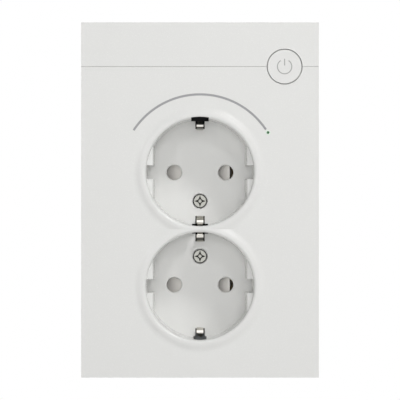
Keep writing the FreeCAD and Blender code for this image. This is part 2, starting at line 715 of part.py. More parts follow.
def ramped_pad(x, z):
    """A pad whose front slopes back towards -X, so that a pin pushes it to +X."""
    outline = [(x[0], RAMP_FOOT), (x[1], PAD_FRONT), (x[1], PAD_BACK), (x[0], PAD_BACK)]
    return slab_z(outline, around(z, PAD_HALF))


def shutter(z):
    """The sliding shutter of one recess: a ramp at each pin hole, between two cheeks."""
    body_y = (PAD_FRONT, PAD_BACK)
    solids = [ramped_pad(LEFT_PAD, z), ramped_pad(RIGHT_PAD, z),
              box((LEFT_PAD[1], RIGHT_PAD[0]), (BRIDGE_FRONT, PAD_BACK), around(z, PAD_HALF))]
    for side in (1, -1):
        cheek = sorted(z + side * offset for offset in (CHEEK_HALF, PAD_HALF))
        solids.append(box((LEFT_PAD[0], RIGHT_PAD[1]), body_y, cheek))
    return joined(solids).cut([
        box(APERTURE, body_y, around(z, APERTURE_HALF)),
        box((LEFT_PAD[1], APERTURE[0]), body_y, around(z, SPRING_SLOT_HALF)),
    ])


def shutter_spring(z):
    """The coil spring between the left ramp of a shutter and its seat on the tray."""
    start, end = LEFT_PAD[1] + SPRING_WIRE_R, SEAT_X[0] - SPRING_WIRE_R
    length = end - start
    helix = Part.makeHelix(length / SPRING_TURNS, length, SPRING_R)
    profile = Part.Wire(Part.makeCircle(SPRING_WIRE_R, Vector(SPRING_R, 0, 0), ALONG_Y))
    coil = Part.Wire(helix).makePipeShell([profile], True, True)
    coil.rotate(Vector(0, 0, 0), ALONG_Y, 90)
    coil.translate(Vector(start, SPRING_Y, z))
    return coil


def shutter_tray():
    """The plate under the recesses with guide rails, stops and spring seats."""
    solids = [box(around(0, TRAY_X), TRAY_Y, around(0, TRAY_Z))]
    wall_y = (RAIL_FRONT, TRAY_Y[0])
    for z in SOCKET_ZS:
        for side in (1, -1):
            rail = sorted(z + side * offset for offset in RAIL_OFFSET)
            solids.append(box((STOP_X[0], RAIL_END_X), wall_y, rail))
        solids.append(box(STOP_X, wall_y, around(z, STOP_HALF)))
        solids.append(box(SEAT_X, wall_y, around(z, SEAT_HALF)))
        pin_start = Vector(SEAT_X[0] - SEAT_PIN, SPRING_Y, z)
        solids.append(Part.makeCylinder(SEAT_PIN_R, SEAT_PIN, pin_start, ALONG_X))
    cutters = [box(around(0, STRAP_WIDTH / 2 + SLIDE_GAP), TRAY_Y, around(0, INNER_CLIP_BASE_Z))]
    for z in SOCKET_ZS:
        cutters += [rod(x, z, TRAY_PIN_R, TRAY_Y) for x in (-PIN_X, PIN_X)]
    cutters += [rod(0, z, SCREW_R + SLIDE_GAP, TRAY_Y) for z in (SCREW_Z, -SCREW_Z)]
    for tab, riser_z in ((NEUTRAL_TAB, RISER_Z), (LINE_TAB, RISER_Z), (SWITCHED_TAB, SWITCHED_RISER_Z)):
        cutters.append(box((tab[0] - TAB_GAP, tab[1] + TAB_GAP), TRAY_Y,
                           (riser_z - TAB_GAP, riser_z + SHEET + TAB_GAP)))
    return joined(solids).cut(cutters)


def clip(z, outward, root_y, bends):
    """A bent earth clip with a narrow tail; outward is the way from the recess centre."""
    nose, crest, tail = bends
    line = [(CLIP_KNEE, CLIP_ROOT_R), nose, (crest[0], crest[1] - CREST_HALF),
            (crest[0], crest[1] + CREST_HALF), tail]
    path = [(root_y, CLIP_ROOT_R)] + [(FLOOR_Y - height, r) for height, r in line]
    path = [(y, z + outward * r) for y, r in eased(path, CLIP_EASE)]
    strip = slab_x(band(path, CLIP_SHEET), around(0, CLIP_WIDTH / 2))
    neck_z = sorted(z + outward * r for r in (crest[1] + CREST_HALF, tail[1] + CLIP_SHEET))
    neck_y = (FLOOR_Y - crest[0] - CLIP_SHEET, FLOOR_Y - tail[0] + CLIP_SHEET)
    notches = [box(sorted((side * CLIP_NECK / 2, side * CLIP_WIDTH)), neck_y, neck_z)
               for side in (1, -1)]
    return strip.cut(notches)


def earth_strap():
    """The long strap with an outer clip at each end and a post to the earth terminal."""
    back = STRAP_Y + STRAP_SHEET
    step = TRAY_Y[1] - back
    half = STRAP_WIDTH / 2
    solids = []
    for z in SOCKET_ZS:
        way = 1 if z > 0 else -1
        line = [(STRAP_Y + STRAP_SHEET / 2, 0), (STRAP_Y + STRAP_SHEET / 2, way * STRAP_STEP_Z[0]),
                (STRAP_Y + STRAP_SHEET / 2 + step, way * STRAP_STEP_Z[1]),
                (STRAP_Y + STRAP_SHEET / 2 + step, way * STRAP_END_Z)]
        solids.append(slab_x(band(line, STRAP_SHEET), around(0, half)))
        solids.append(clip(z, way, STRAP_Y + step + CLIP_SHEET / 2, OUTER_BENDS))
    post_y = (back - STRAP_SHEET / 2, CAGE_FRONT_Y)
    solids.append(box(around(0, EARTH_POST_X), post_y, around(0, EARTH_POST_Z)))
    holes = [rod(0, z, STRAP_HOLE_R, (STRAP_Y, back)) for z in (SCREW_Z, -SCREW_Z)]
    holes += [rod(0, z, RIVET_R, (STRAP_Y + step, back + step)) for z in (STRAP_RIVET_Z, -STRAP_RIVET_Z)]
    return joined(solids).cut(holes)


def inner_earth_clips():
    """The two clips beside the shared wall, on one base plate on the strap."""
    base_y = (STRAP_Y - STRAP_SHEET, STRAP_Y)
    reach = SOCKET_ZS[0] - CLIP_ROOT_R + CLIP_SHEET / 2
    solids = [box(around(0, EARTH_POST_X), base_y, around(0, reach))]
    solids += [clip(z, -1 if z > 0 else 1, STRAP_Y, INNER_BENDS) for z in SOCKET_ZS]
    return joined(solids)


def rivet(x, z, y):
    """A rivet along Y whose heads stand outside the (front, back) pair."""
    return joined([rod(x, z, RIVET_HEAD_R, (y[0] - RIVET_HEAD, y[0])), rod(x, z, RIVET_R, y),
                   rod(x, z, RIVET_HEAD_R, (y[1], y[1] + RIVET_HEAD))])


def strap_rivets():
    """Studs, flush at the back, that fix the earth strap to the steel frame."""
    strap_front = FRAME_Y[0] - STRAP_SHEET
    return [joined([rod(0, z, RIVET_HEAD_R, (strap_front - RIVET_HEAD, strap_front)),
                    rod(0, z, RIVET_R, (strap_front, FRAME_Y[1]))])
            for z in (STRAP_RIVET_Z, -STRAP_RIVET_Z)]


def frame_rivets():
    """Rivets that fix the steel frame to the ears of the base housing."""
    return [rivet(x, z, (FRAME_Y[0], EAR_PLATE)) for x in (-RIVET_X, RIVET_X) for z in (-RIVET_Z, RIVET_Z)]


def rounded_plate(x, z, corner, y):
    """A flat plate with rounded corners."""
    plate = box(x, y, z)
    upright = [edge for edge in plate.Edges if abs(edge.tangentAt(edge.FirstParameter).y) > 0.9]
    return plate.makeFillet(corner, upright)


def mounting_frame():
    """The steel frame that is screwed to the wall box."""
    plate = rounded_plate(around(0, FRAME_X), FRAME_Z, FRAME_CORNER, FRAME_Y)
    cutters = [rounded_plate(around(0, FRAME_OPEN_X), around(0, FRAME_OPEN_Z), FRAME_CORNER, FRAME_Y)]
    for x in (-BOX_SCREW_X, BOX_SCREW_X):
        ends = around(x, BOX_SLOT / 2 - BOX_SLOT_R)
        cutters += [rod(end, 0, BOX_SLOT_R, FRAME_Y) for end in ends]
        cutters.append(box(ends, FRAME_Y, around(0, BOX_SLOT_R)))
    cutters += [rod(x, z, RIVET_R, FRAME_Y) for x in (-RIVET_X, RIVET_X) for z in (-RIVET_Z, RIVET_Z)]
    cutters += [rod(0, z, RIVET_R, FRAME_Y) for z in (-STRAP_RIVET_Z, STRAP_RIVET_Z)]
    cutters += [rod(x, z, SHELL_SCREW_R, FRAME_Y) for x, z in SHELL_SCREWS]
    return plate.cut(cutters)


def base_outline(radius, half_x, y):
    """A round body with two flat sides."""
    return rod(0, 0, radius, y).common(box(around(0, half_x), y, around(0, radius)))


def base_housing():
    """The housing in the wall box, with insert posts, contact pads, ears and wire holes."""
    back, end = BASE_BACK_Y
    shell = base_outline(BASE_R, BASE_X, (BASE_FRONT_Y, end)).cut(
        base_outline(BASE_R - BASE_WALL, BASE_X - BASE_WALL, (BASE_FRONT_Y, back)))
    solids = [shell]
    for x in (-RIVET_X, RIVET_X):
        for z in (-RIVET_Z, RIVET_Z):
            inward = sorted((x, math.copysign(BASE_X - BASE_WALL / 2, x)))
            ear = joined([rod(x, z, EAR_R, (0, EAR_PLATE)), box(inward, (0, EAR_PLATE), around(z, EAR_R))])
            solids.append(ear.common(rod(0, 0, EAR_REACH, (0, EAR_PLATE))))
    solids += [rod(0, z, POST_R, (POST_FRONT_Y, back)) for z in (SCREW_Z, -SCREW_Z)]
    solids += [rod(x, z, PAD_R, (TULIP_Y[1], back)) for x in (-PIN_X, PIN_X) for z in SOCKET_ZS]
    cutters = [rod(0, z, INSERT_R, (POST_FRONT_Y, INSERT_Y[1])) for z in (SCREW_Z, -SCREW_Z)]
    cutters += [rod(x, z, RIVET_R, (0, EAR_PLATE)) for x in (-RIVET_X, RIVET_X) for z in (-RIVET_Z, RIVET_Z)]
    cutters.append(box(around(0, STRAP_WIDTH / 2 + FACE_GAP), (BASE_FRONT_Y, STRAP_Y + STRAP_SHEET),
                       around(0, BASE_R)))
    for x in TERMINAL_XS.values():
        cutters += [rod(x + side * WIRE_HOLE_OFFSET, WIRE_HOLE_Z, WIRE_HOLE_R, BASE_BACK_Y)
                    for side in (-1, 1)]
        cutters.append(box(around(x, RELEASE_HALF_X + SLIDE_GAP), BASE_BACK_Y,
                           (RELEASE_Z[0] - SLIDE_GAP, RELEASE_Z[1] + SLIDE_GAP)))
    return joined(solids).cut(cutters)


def tulip(x, z):
    """A slit contact tube for one pin."""
    tube = rod(x, z, TULIP_R, TULIP_Y).cut(rod(x, z, TULIP_BORE_R, TULIP_Y))
    return tube.cut(box(around(x, TULIP_R), (TULIP_Y[0], TULIP_SLIT_END), around(z, TULIP_SLIT / 2)))


def rail_strip(side, z_range, webs):
    """The upright strip beside a terminal, with a stub at its cage and at each tulip web."""
    x = sorted((side * CONTACT_RAIL_X, side * (CONTACT_RAIL_X + SHEET)))
    solids = [box(x, RAIL_STRIP_Y, z_range),
              box(x, (RAIL_STRIP_Y[0], CAGE_FRONT_Y), around(0, RAIL_STUB_HALF))]
    for z in webs:
        web_x = sorted((side * PIN_X, side * (CONTACT_RAIL_X + SHEET)))
        solids.append(box(web_x, (WEB_Y, WEB_Y + SHEET), around(z, WEB_HALF)))
        solids.append(box(x, (RAIL_STRIP_Y[0], WEB_Y + SHEET), around(z, WEB_HALF)))
    return solids


def board_tab(x, riser_z, start_y, top_z):
    """The riser out of the base housing and the tab on the circuit board's back."""
    return [box(x, (TAB_Y, start_y), (riser_z, riser_z + SHEET)),
            box(x, (TAB_Y, TAB_Y + SHEET), (riser_z, top_z))]


def bores(places):
    """Cutters that keep the tulip tubes open."""
    return [rod(x, z, TULIP_BORE_R, TULIP_Y) for x, z in places]


def neutral_contact_bar():
    """Both left tulips, their strip and the tab to the circuit board."""
    places = [(-PIN_X, z) for z in SOCKET_ZS]
    top = SOCKET_ZS[0]
    solids = [tulip(x, z) for x, z in places]
    solids += rail_strip(-1, around(0, top + WEB_HALF), SOCKET_ZS)
    riser_top = RISER_Z + SHEET
    web = [(-PIN_X, top), (-PIN_X, top + WEB_HALF), (NEUTRAL_TAB[0], riser_top),
           (NEUTRAL_TAB[1], riser_top), (NEUTRAL_TAB[1], top)]
    solids.append(slab_y(web, (WEB_Y, WEB_Y + SHEET)))
    solids += board_tab(NEUTRAL_TAB, RISER_Z, WEB_Y + SHEET, TAB_TOP_Z)
    return joined(solids).cut(bores(places))


def line_contact_bar():
    """The lower right tulip, the line strip and its tab to the circuit board."""
    places = [(PIN_X, SOCKET_ZS[1])]
    front = (RAIL_STRIP_Y[0], RAIL_STRIP_Y[0] + SHEET)
    solids = [tulip(x, z) for x, z in places]
    solids += rail_strip(1, (SOCKET_ZS[1] - WEB_HALF, LINE_PLATE_Z[1]), SOCKET_ZS[1:])
    solids.append(box((LINE_TAB[0], CONTACT_RAIL_X + SHEET), front, LINE_PLATE_Z))
    solids.append(box(LINE_TAB, front, (LINE_PLATE_Z[0], RISER_Z + SHEET)))
    solids += board_tab(LINE_TAB, RISER_Z, front[1], TAB_TOP_Z)
    return joined(solids).cut(bores(places))


def switched_contact():
    """The upper right tulip and its tab to the circuit board, fed through the relay."""
    places = [(PIN_X, SOCKET_ZS[0])]
    top, low = SOCKET_ZS[0], SWITCHED_RISER_Z
    web = [(PIN_X, top), (PIN_X + TULIP_R, top), (CONTACT_RAIL_X, low + SWITCHED_WEB),
           (SWITCHED_TAB[1], low + SWITCHED_WEB), (SWITCHED_TAB[1], low), (PIN_X, low)]
    solids = [tulip(*places[0]), slab_y(web, (WEB_Y, WEB_Y + SHEET))]
    solids += board_tab(SWITCHED_TAB, low, WEB_Y + SHEET, SWITCHED_TAB_TOP_Z)
    return joined(solids).cut(bores(places))


def terminal_cage(x):
    """The brass cage of a screwless terminal, open to the wire holes."""
    back = BASE_BACK_Y[0]
    inner_x, inner_z = CAGE_HALF_X - CAGE_SHEET, CAGE_HALF_Z - CAGE_SHEET
    return box(around(x, CAGE_HALF_X), (CAGE_FRONT_Y, back), around(0, CAGE_HALF_Z)).cut(
        box(around(x, inner_x), (CAGE_FRONT_Y + CAGE_SHEET, back), around(0, inner_z)))


def terminal_spring(x):
    """The bent leaf that clamps the wires and gives way to the release button."""
    outline = band(eased(LEAF_LINE, LEAF_EASE), LEAF_SHEET)
    return slab_x(outline, around(x, LEAF_HALF))


def release_button(x):
    """The button in the back wall that presses the leaf spring open."""
    flange_z = (RELEASE_Z[0] - RELEASE_FLANGE, RELEASE_Z[1] + RELEASE_FLANGE)
    return joined([box(around(x, RELEASE_HALF_X), RELEASE_Y, RELEASE_Z),
                   box(around(x, RELEASE_HALF_X + RELEASE_FLANGE), RELEASE_FLANGE_Y, flange_z)])


def shell_outline(inset, y):
    """The shape of the electronics shell, drawn in by an inset."""
    block = box(around(0, SHELL_X - inset), y, (SHELL_Z[0] + inset, SHELL_Z[1] - inset))
    return block.cut(rod(0, SOCKET_ZS[0], SHELL_CUT_R + inset, y))


def electronics_rear_shell():
    """The tray of the electronics, with its posts and a tongue behind the top window."""
    lid_y, floor_y = LID_BACK, SHELL_FLOOR_Y
    shell = shell_outline(0, (lid_y, FRAME_Y[0])).cut(shell_outline(SHELL_WALL, (lid_y, floor_y)))
    solids = [shell]
    for x, z in SHELL_POSTS:
        solids.append(rod(x, z, SHELL_POST_R, (lid_y, floor_y)))
        shoulder = rod(x, z, SHOULDER_R, (BOARD_Y[1], floor_y))
        solids.append(shoulder.common(shell_outline(0, (BOARD_Y[1], floor_y))))
    solids.append(box(around(0, SHELL_TONGUE_HALF), (floor_y, FRAME_Y[0]),
                      (STRAP_END_Z + FACE_GAP, SOCKET_Z + SHELL_CUT_R + SHELL_WALL)))
    cutters = [rod(x, z, LID_SCREW_R, (lid_y, LID_SCREW_END)) for x, z in SHELL_POSTS]
    cutters += [rod(x, z, SHELL_SCREW_R, (floor_y, FRAME_Y[0])) for x, z in SHELL_SCREWS]
    slot_y = (TAB_Y - TAB_GAP, floor_y)
    for tab, z in ((NEUTRAL_TAB, TAB_SLOT_Z), (LINE_TAB, TAB_SLOT_Z), (SWITCHED_TAB, SWITCHED_SLOT_Z)):
        cutters.append(box((tab[0] - TAB_GAP, tab[1] + TAB_GAP), slot_y, z))
    return joined(solids).cut(cutters)


def electronics_lid():
    """The lid over the electronics with holes for the stem, light guides and screws."""
    y = (SHELL_FRONT, LID_BACK)
    status_x, status_z = polar(STATUS_R, STATUS_ANGLE, ARC_Z)
    cutters = [rod(BUTTON_X, SEAM_Z, STEM_R + RUN_GAP, y),
               rod(status_x, status_z, STATUS_BODY_R + RUN_GAP, y)]
    for angle in ARC_LEGS:
        x, z = polar(ARC_R, angle, ARC_Z)
        cutters.append(rod(x, z, LEG_R + RUN_GAP, y))
    cutters += [rod(x, z, LID_SCREW_R + RUN_GAP, y) for x, z in SHELL_POSTS]
    return shell_outline(0, y).cut(cutters)


def lid_screws():
    """Four small screws through the lid into the posts."""
    return [cross_screw(x, z, SHELL_FRONT, (LID_HEAD_R, SMALL_HEAD), LID_SCREW_END, LID_SCREW_R,
                        SMALL_SCREW_CROSS) for x, z in SHELL_POSTS]


def shell_screws():
    """Two screws through the floor of the shell into the steel frame."""
    return [cross_screw(x, z, SHELL_FLOOR_Y, (SHELL_HEAD_R, SMALL_HEAD), FRAME_Y[1],
                        SHELL_SCREW_R, SMALL_SCREW_CROSS) for x, z in SHELL_SCREWS]


def circuit_board():
    """The board in the shell, cut round the posts."""
    outline = shell_outline(SHELL_WALL + SLIDE_GAP, BOARD_Y)
    return outline.cut([rod(x, z, SHELL_POST_R + SLIDE_GAP, BOARD_Y) for x, z in SHELL_POSTS])


def relay_middle():
    """The height of the relay's middle plane."""
    return sum(RELAY_Z) / 2


def relay_case():
    """The cover of the relay, open towards the board."""
    case = box(RELAY_X, (RELAY_FRONT, BOARD_Y[0]), RELAY_Z)
    inner_x = (RELAY_X[0] + RELAY_WALL, RELAY_X[1] - RELAY_WALL)
    inner_z = (RELAY_Z[0] + RELAY_WALL, RELAY_Z[1] - RELAY_WALL)
    return case.cut(box(inner_x, (RELAY_FRONT + RELAY_WALL, BOARD_Y[0]), inner_z))


def relay_base():
    """The plate that closes the relay and carries its yoke and contact."""
    inner_x = (RELAY_X[0] + RELAY_WALL, RELAY_X[1] - RELAY_WALL)
    inner_z = (RELAY_Z[0] + RELAY_WALL, RELAY_Z[1] - RELAY_WALL)
    plate = box(inner_x, (BOARD_Y[0] - RELAY_BASE, BOARD_Y[0]), inner_z)
    leg_x = (FIXED_PLATE_X[0], FIXED_PLATE_X[0] + FIXED_SHEET)
    return plate.cut(box(leg_x, (BOARD_Y[0] - RELAY_BASE, BOARD_Y[0]),
                         around(relay_middle(), CONTACT_ARM_HALF)))


def relay_coil():
    """The wound bobbin around the core."""
    z = relay_middle()
    back = BOARD_Y[0] - RELAY_BASE - YOKE_SHEET
    return joined([
        rod(COIL_X, z, BOBBIN_R, (COIL_FRONT, COIL_FRONT + BOBBIN_FLANGE)),
        rod(COIL_X, z, COIL_R, (COIL_FRONT, back)),
        rod(COIL_X, z, BOBBIN_R, (back - BOBBIN_FLANGE, back)),
    ]).cut(rod(COIL_X, z, CORE_R, (COIL_FRONT, back)))


def relay_yoke():
    """The bent iron yoke with its core."""
    z = relay_middle()
    back = BOARD_Y[0] - RELAY_BASE
    return joined([
        box(YOKE_X, (YOKE_FRONT, back), around(z, YOKE_HALF)),
        box((COIL_X - COIL_R, YOKE_X[1]), (back - YOKE_SHEET, back), around(z, YOKE_HALF)),
        rod(COIL_X, z, CORE_R, (CORE_FRONT, back)),
    ])


def relay_armature():
    """The iron plate that the core pulls in."""
    return box(ARMATURE_X, ARMATURE_Y, around(relay_middle(), YOKE_HALF))


def relay_moving_contact():
    """The contact arm under the armature."""
    z = relay_middle()
    arm_y = (ARMATURE_Y[1], ARMATURE_Y[1] + CONTACT_ARM)
    return joined([box(CONTACT_ARM_X, arm_y, around(z, CONTACT_ARM_HALF)),
                   rod(CONTACT_X, z, CONTACT_R, (arm_y[1], arm_y[1] + CONTACT_HEIGHT))])


def relay_fixed_contact():
    """The fixed contact with its leg through the board."""
    z = relay_middle()
    plate_y = (FIXED_CONTACT_FRONT + CONTACT_HEIGHT, FIXED_CONTACT_FRONT + CONTACT_HEIGHT + FIXED_SHEET)
    leg_x = (FIXED_PLATE_X[0], FIXED_PLATE_X[0] + FIXED_SHEET)
    return joined([
        rod(CONTACT_X, z, CONTACT_R, (FIXED_CONTACT_FRONT, plate_y[0])),
        box(FIXED_PLATE_X, plate_y, around(z, CONTACT_ARM_HALF)),
        box(leg_x, (plate_y[0], BOARD_Y[0]), around(z, CONTACT_ARM_HALF)),
    ])


def safety_capacitor():
    """The box-shaped capacitor across the supply."""
    body = box(CAPACITOR_X, (CAPACITOR_FRONT, BOARD_Y[0]), CAPACITOR_Z)
    upright = [edge for edge in body.Edges if abs(edge.tangentAt(edge.FirstParameter).y) > 0.9]
    return body.makeFillet(CAPACITOR_ROUND, upright)


def bulk_capacitors():
    """The two upright round capacitors, each with the groove near its foot."""
    cans = []
    for x, z in BULK_SPOTS:
        foot = BOARD_Y[0] - 2 * BULK_GROOVE
        cans.append(joined([
            rod(x, z, BULK_R, (BULK_FRONT, foot - BULK_GROOVE)),
            rod(x, z, BULK_R - BULK_GROOVE, (foot - BULK_GROOVE, foot)),
            rod(x, z, BULK_R, (foot, BOARD_Y[0])),
        ]))
    return cans


def transformer_core():
    """The ferrite core: a frame with a middle limb."""
    core = box(TRANSFORMER_X, TRANSFORMER_Y, around(transformer_middle(), CORE_LIMB))
    middle = sum(TRANSFORMER_X) / 2
    y = (TRANSFORMER_Y[0] + CORE_LIMB, TRANSFORMER_Y[1] - CORE_LIMB)
    z = around(transformer_middle(), CORE_LIMB)
    windows = [box((TRANSFORMER_X[0] + CORE_LIMB / 2, middle - CORE_LIMB / 2), y, z),
               box((middle + CORE_LIMB / 2, TRANSFORMER_X[1] - CORE_LIMB / 2), y, z)]
    return core.cut(windows)


def transformer_middle():
    """The height of the transformer's middle plane."""
    return sum(TRANSFORMER_Z) / 2


def transformer_winding():
    """The wound bobbin around the middle limb, on its feet."""
    middle = sum(TRANSFORMER_X) / 2
    y = (TRANSFORMER_Y[0] + CORE_LIMB, TRANSFORMER_Y[1] - CORE_LIMB)
    half_x = (TRANSFORMER_X[1] - TRANSFORMER_X[0]) / 2
    winding = box(around(middle, half_x - CORE_LIMB / 2 - WINDING_GAP), y, TRANSFORMER_Z)
    limb = box(around(middle, CORE_LIMB / 2), y, around(transformer_middle(), CORE_LIMB))
    feet = [box(around(middle, half_x - CORE_LIMB / 2 - WINDING_GAP), (y[0], BOARD_Y[0]), z)
            for z in ((TRANSFORMER_Z[0], transformer_middle() - CORE_LIMB - WINDING_GAP),
                      (transformer_middle() + CORE_LIMB + WINDING_GAP, TRANSFORMER_Z[1]))]
    return joined([winding] + feet).cut(limb)


def varistor():
    """The flat round surge absorber on two leads."""
    x, z = VARISTOR_AT
    disc = Part.makeCylinder(VARISTOR_R, 2 * VARISTOR_HALF, Vector(x, VARISTOR_Y, z - VARISTOR_HALF),
                             ALONG_Z)
    leads = [rod(x + side * VARISTOR_R / 2, z, LEAD_R, (VARISTOR_Y, BOARD_Y[0])) for side in (-1, 1)]
    return joined([disc] + leads)


def fuse_resistor():
    """The lying fuse resistor with its bent leads."""
    middle = Vector(sum(FUSE_X) / 2, FUSE_Y, FUSE_Z)
    body = Part.makeCylinder(FUSE_R, FUSE_X[1] - FUSE_X[0], Vector(FUSE_X[0], FUSE_Y, FUSE_Z), ALONG_X)
    leads = []
    for x, way in ((FUSE_X[0], -1), (FUSE_X[1], 1)):
        end = x + way * FUSE_REACH
        turn = Vector(end - way * FUSE_BEND_R, FUSE_Y, FUSE_Z)
        down = Vector(end, FUSE_Y + FUSE_BEND_R, FUSE_Z)
        share = FUSE_BEND_R * math.sqrt(0.5)
        bend = Vector(turn.x + way * share, down.y - share, FUSE_Z)
        path = Part.Wire([Part.makeLine(middle, turn), Part.Arc(turn, bend, down).toShape(),
                          Part.makeLine(down, Vector(end, BOARD_Y[0], FUSE_Z))])
        profile = Part.Wire(Part.makeCircle(LEAD_R, middle, ALONG_X))
        leads.append(path.makePipeShell([profile], True, False))
    return joined([body] + leads)


def power_chips():
    """The two moulded chips of the supply."""
    return [box(x, (BOARD_Y[0] - CHIP_HEIGHT, BOARD_Y[0]), z) for x, z in POWER_CHIPS]


def radio_board():
    """The small radio board flat on the main board."""
    return box(RADIO_X, (BOARD_Y[0] - RADIO_BOARD, BOARD_Y[0]), RADIO_Z)


def radio_shield():
    """The thin metal can on the radio board."""
    back = BOARD_Y[0] - RADIO_BOARD
    front = back - SHIELD_HEIGHT
    inner_x = (SHIELD_X[0] + SHIELD_WALL, SHIELD_X[1] - SHIELD_WALL)
    inner_z = (SHIELD_Z[0] + SHIELD_WALL, SHIELD_Z[1] - SHIELD_WALL)
    return box(SHIELD_X, (front, back), SHIELD_Z).cut(box(inner_x, (front + SHIELD_WALL, back), inner_z))


def tact_switch_body():
    """The square body of the push switch."""
    body = box(around(BUTTON_X, SWITCH_HALF), (SWITCH_FRONT, BOARD_Y[0]), around(SEAM_Z, SWITCH_HALF))
    return body.cut(rod(BUTTON_X, SEAM_Z, PLUNGER_R + RUN_GAP, (SWITCH_FRONT, SWITCH_BORE_END)))


def tact_switch_plunger():
    """The plunger that the button's stem presses."""
    return rod(BUTTON_X, SEAM_Z, PLUNGER_R, PLUNGER_Y)


def lamp(x, z, half, height):
    """A small square lamp on the board."""
    return box(around(x, half[0]), (BOARD_Y[0] - height, BOARD_Y[0]), around(z, half[1]))


def guide_leds():
    """The three lamps under the legs of the light guide."""
    return [lamp(*polar(ARC_R, angle, ARC_Z), LAMP_HALF, LAMP_HEIGHT) for angle in ARC_LEGS]


def status_led():
    """The lamp under the status light pipe."""
    return lamp(*polar(STATUS_R, STATUS_ANGLE, ARC_Z), STATUS_LAMP_HALF, STATUS_LAMP_HEIGHT)


def all_nodes():
    """Every node of the assembly with its solid or solids."""
    upper, lower = SOCKET_ZS
    nodes = {
        "shutter_upper": shutter(upper),
        "shutter_lower": shutter(lower),
        "shutter_spring_upper": shutter_spring(upper),
        "shutter_spring_lower": shutter_spring(lower),
    }
    for name, x in TERMINAL_XS.items():
        nodes[name + "_terminal_cage"] = terminal_cage(x)
        nodes[name + "_terminal_spring"] = terminal_spring(x)
        nodes[name + "_release_button"] = release_button(x)
    for make in (
            front_cover, top_cap, power_button, arc_light_guide, status_light_pipe, cover_screws,
            threaded_inserts, shutter_tray, earth_strap, inner_earth_clips, strap_rivets,
            mounting_frame, frame_rivets, base_housing, neutral_contact_bar, line_contact_bar,
            switched_contact, electronics_rear_shell, electronics_lid, lid_screws, shell_screws,
            circuit_board, relay_case, relay_base, relay_coil, relay_yoke, relay_armature,
            relay_moving_contact, relay_fixed_contact, safety_capacitor, bulk_capacitors,
            transformer_core, transformer_winding, varistor, fuse_resistor, power_chips,
            radio_board, radio_shield, tact_switch_body, tact_switch_plunger, guide_leds, status_led):
        nodes[make.__name__] = make()
    return nodes


def save(name, made):
    """Write one node as a STEP file."""
    solids = [solid for shape in (made if isinstance(made, list) else [made]) for solid in shape.Solids]
    whole = solids[0] if len(solids) == 1 else Part.makeCompound(solids)
    whole.exportStep(os.path.join("parts", name + ".step"))


def main():
    """Build and write every node."""
    os.makedirs("parts", exist_ok=True)
    for name, made in all_nodes().items():
        save(name, made)


main()
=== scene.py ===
import math

import bpy
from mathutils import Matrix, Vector


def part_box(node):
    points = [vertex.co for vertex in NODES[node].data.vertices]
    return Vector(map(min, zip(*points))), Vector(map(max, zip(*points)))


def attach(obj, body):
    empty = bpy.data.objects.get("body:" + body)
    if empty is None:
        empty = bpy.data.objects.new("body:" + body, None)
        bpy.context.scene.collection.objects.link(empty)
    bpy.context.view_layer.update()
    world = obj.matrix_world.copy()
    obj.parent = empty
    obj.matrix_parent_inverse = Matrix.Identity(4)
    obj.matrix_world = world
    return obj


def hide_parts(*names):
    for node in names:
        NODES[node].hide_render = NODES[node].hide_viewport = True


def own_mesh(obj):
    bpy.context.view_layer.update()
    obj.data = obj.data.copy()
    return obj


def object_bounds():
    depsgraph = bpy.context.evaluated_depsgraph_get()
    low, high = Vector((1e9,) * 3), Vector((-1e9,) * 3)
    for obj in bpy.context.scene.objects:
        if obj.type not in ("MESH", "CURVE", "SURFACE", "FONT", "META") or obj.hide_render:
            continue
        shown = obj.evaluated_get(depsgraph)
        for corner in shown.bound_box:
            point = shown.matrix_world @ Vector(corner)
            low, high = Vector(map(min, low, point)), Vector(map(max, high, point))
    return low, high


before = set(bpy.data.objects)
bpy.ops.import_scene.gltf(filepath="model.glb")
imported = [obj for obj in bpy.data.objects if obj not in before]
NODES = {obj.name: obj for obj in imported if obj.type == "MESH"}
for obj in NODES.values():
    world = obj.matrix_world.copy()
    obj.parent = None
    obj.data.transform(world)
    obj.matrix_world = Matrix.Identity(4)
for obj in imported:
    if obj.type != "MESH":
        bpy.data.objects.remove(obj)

bl_info = {
    "name": "Double wall socket finish",
    "version": (1, 0, 0),
    "blender": (4, 5, 0),
    "location": "View3D > Sidebar > Wall socket",
    "description": "Gives the packed double wall socket its finishes, printed marks and studio",
    "category": "Object",
}

CAD_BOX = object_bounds()
MM = 0.001

# Where most values of a noise texture lie, and the bands of a wave texture in one unit at scale 1
NOISE_RANGE = (0.3, 0.7)
WAVES_PER_UNIT = 20 / (2 * math.pi)

# Earth clips, in millimetres: the pale stripe on each crest, which is plug wear and a painted highlight,
# the painted shade under the crests of the two upper clips, and the depth over which painted shade
# darkens the strip
WEAR_GLINT_HALF = 0.12
WEAR_GLINT_EDGE = 0.3
UPPER_CREST_HEIGHTS = (37.9, -2.5)
SHADE_DROP = 1.15
SHADE_HALF = 0.35
SHADE_EDGE = 0.25
PAINTED_SHADE_DEPTHS = (-9.0, -5.0)

# Cross of a screw head, in millimetres: how far behind the head the middle of its walls lies, which are
# darkened with painted shade, half their depth, and their soft edge
CROSS_DEPTH = 0.67
CROSS_HALF = 0.53
CROSS_EDGE = 0.08

# Shutters: how light the deep foot of a ramp is, in painted shade, beside its high end, and dark fibres
# beside light ones
FOOT_SHADE_SHARE = 0.6
FIBRE_SHARE = 0.93

# Copied springs: how near two corners are one, and which edges stay sharp
MERGE_DISTANCE = 0.001 * MM
SMOOTH_ANGLE = math.radians(30)

# Bar of the button's mark: its middle and its length as shares of the ring's radius, and its
# corners as a share of the line
BAR_RISE = 0.62
BAR_LENGTH = 0.95
BAR_CORNER = 0.45

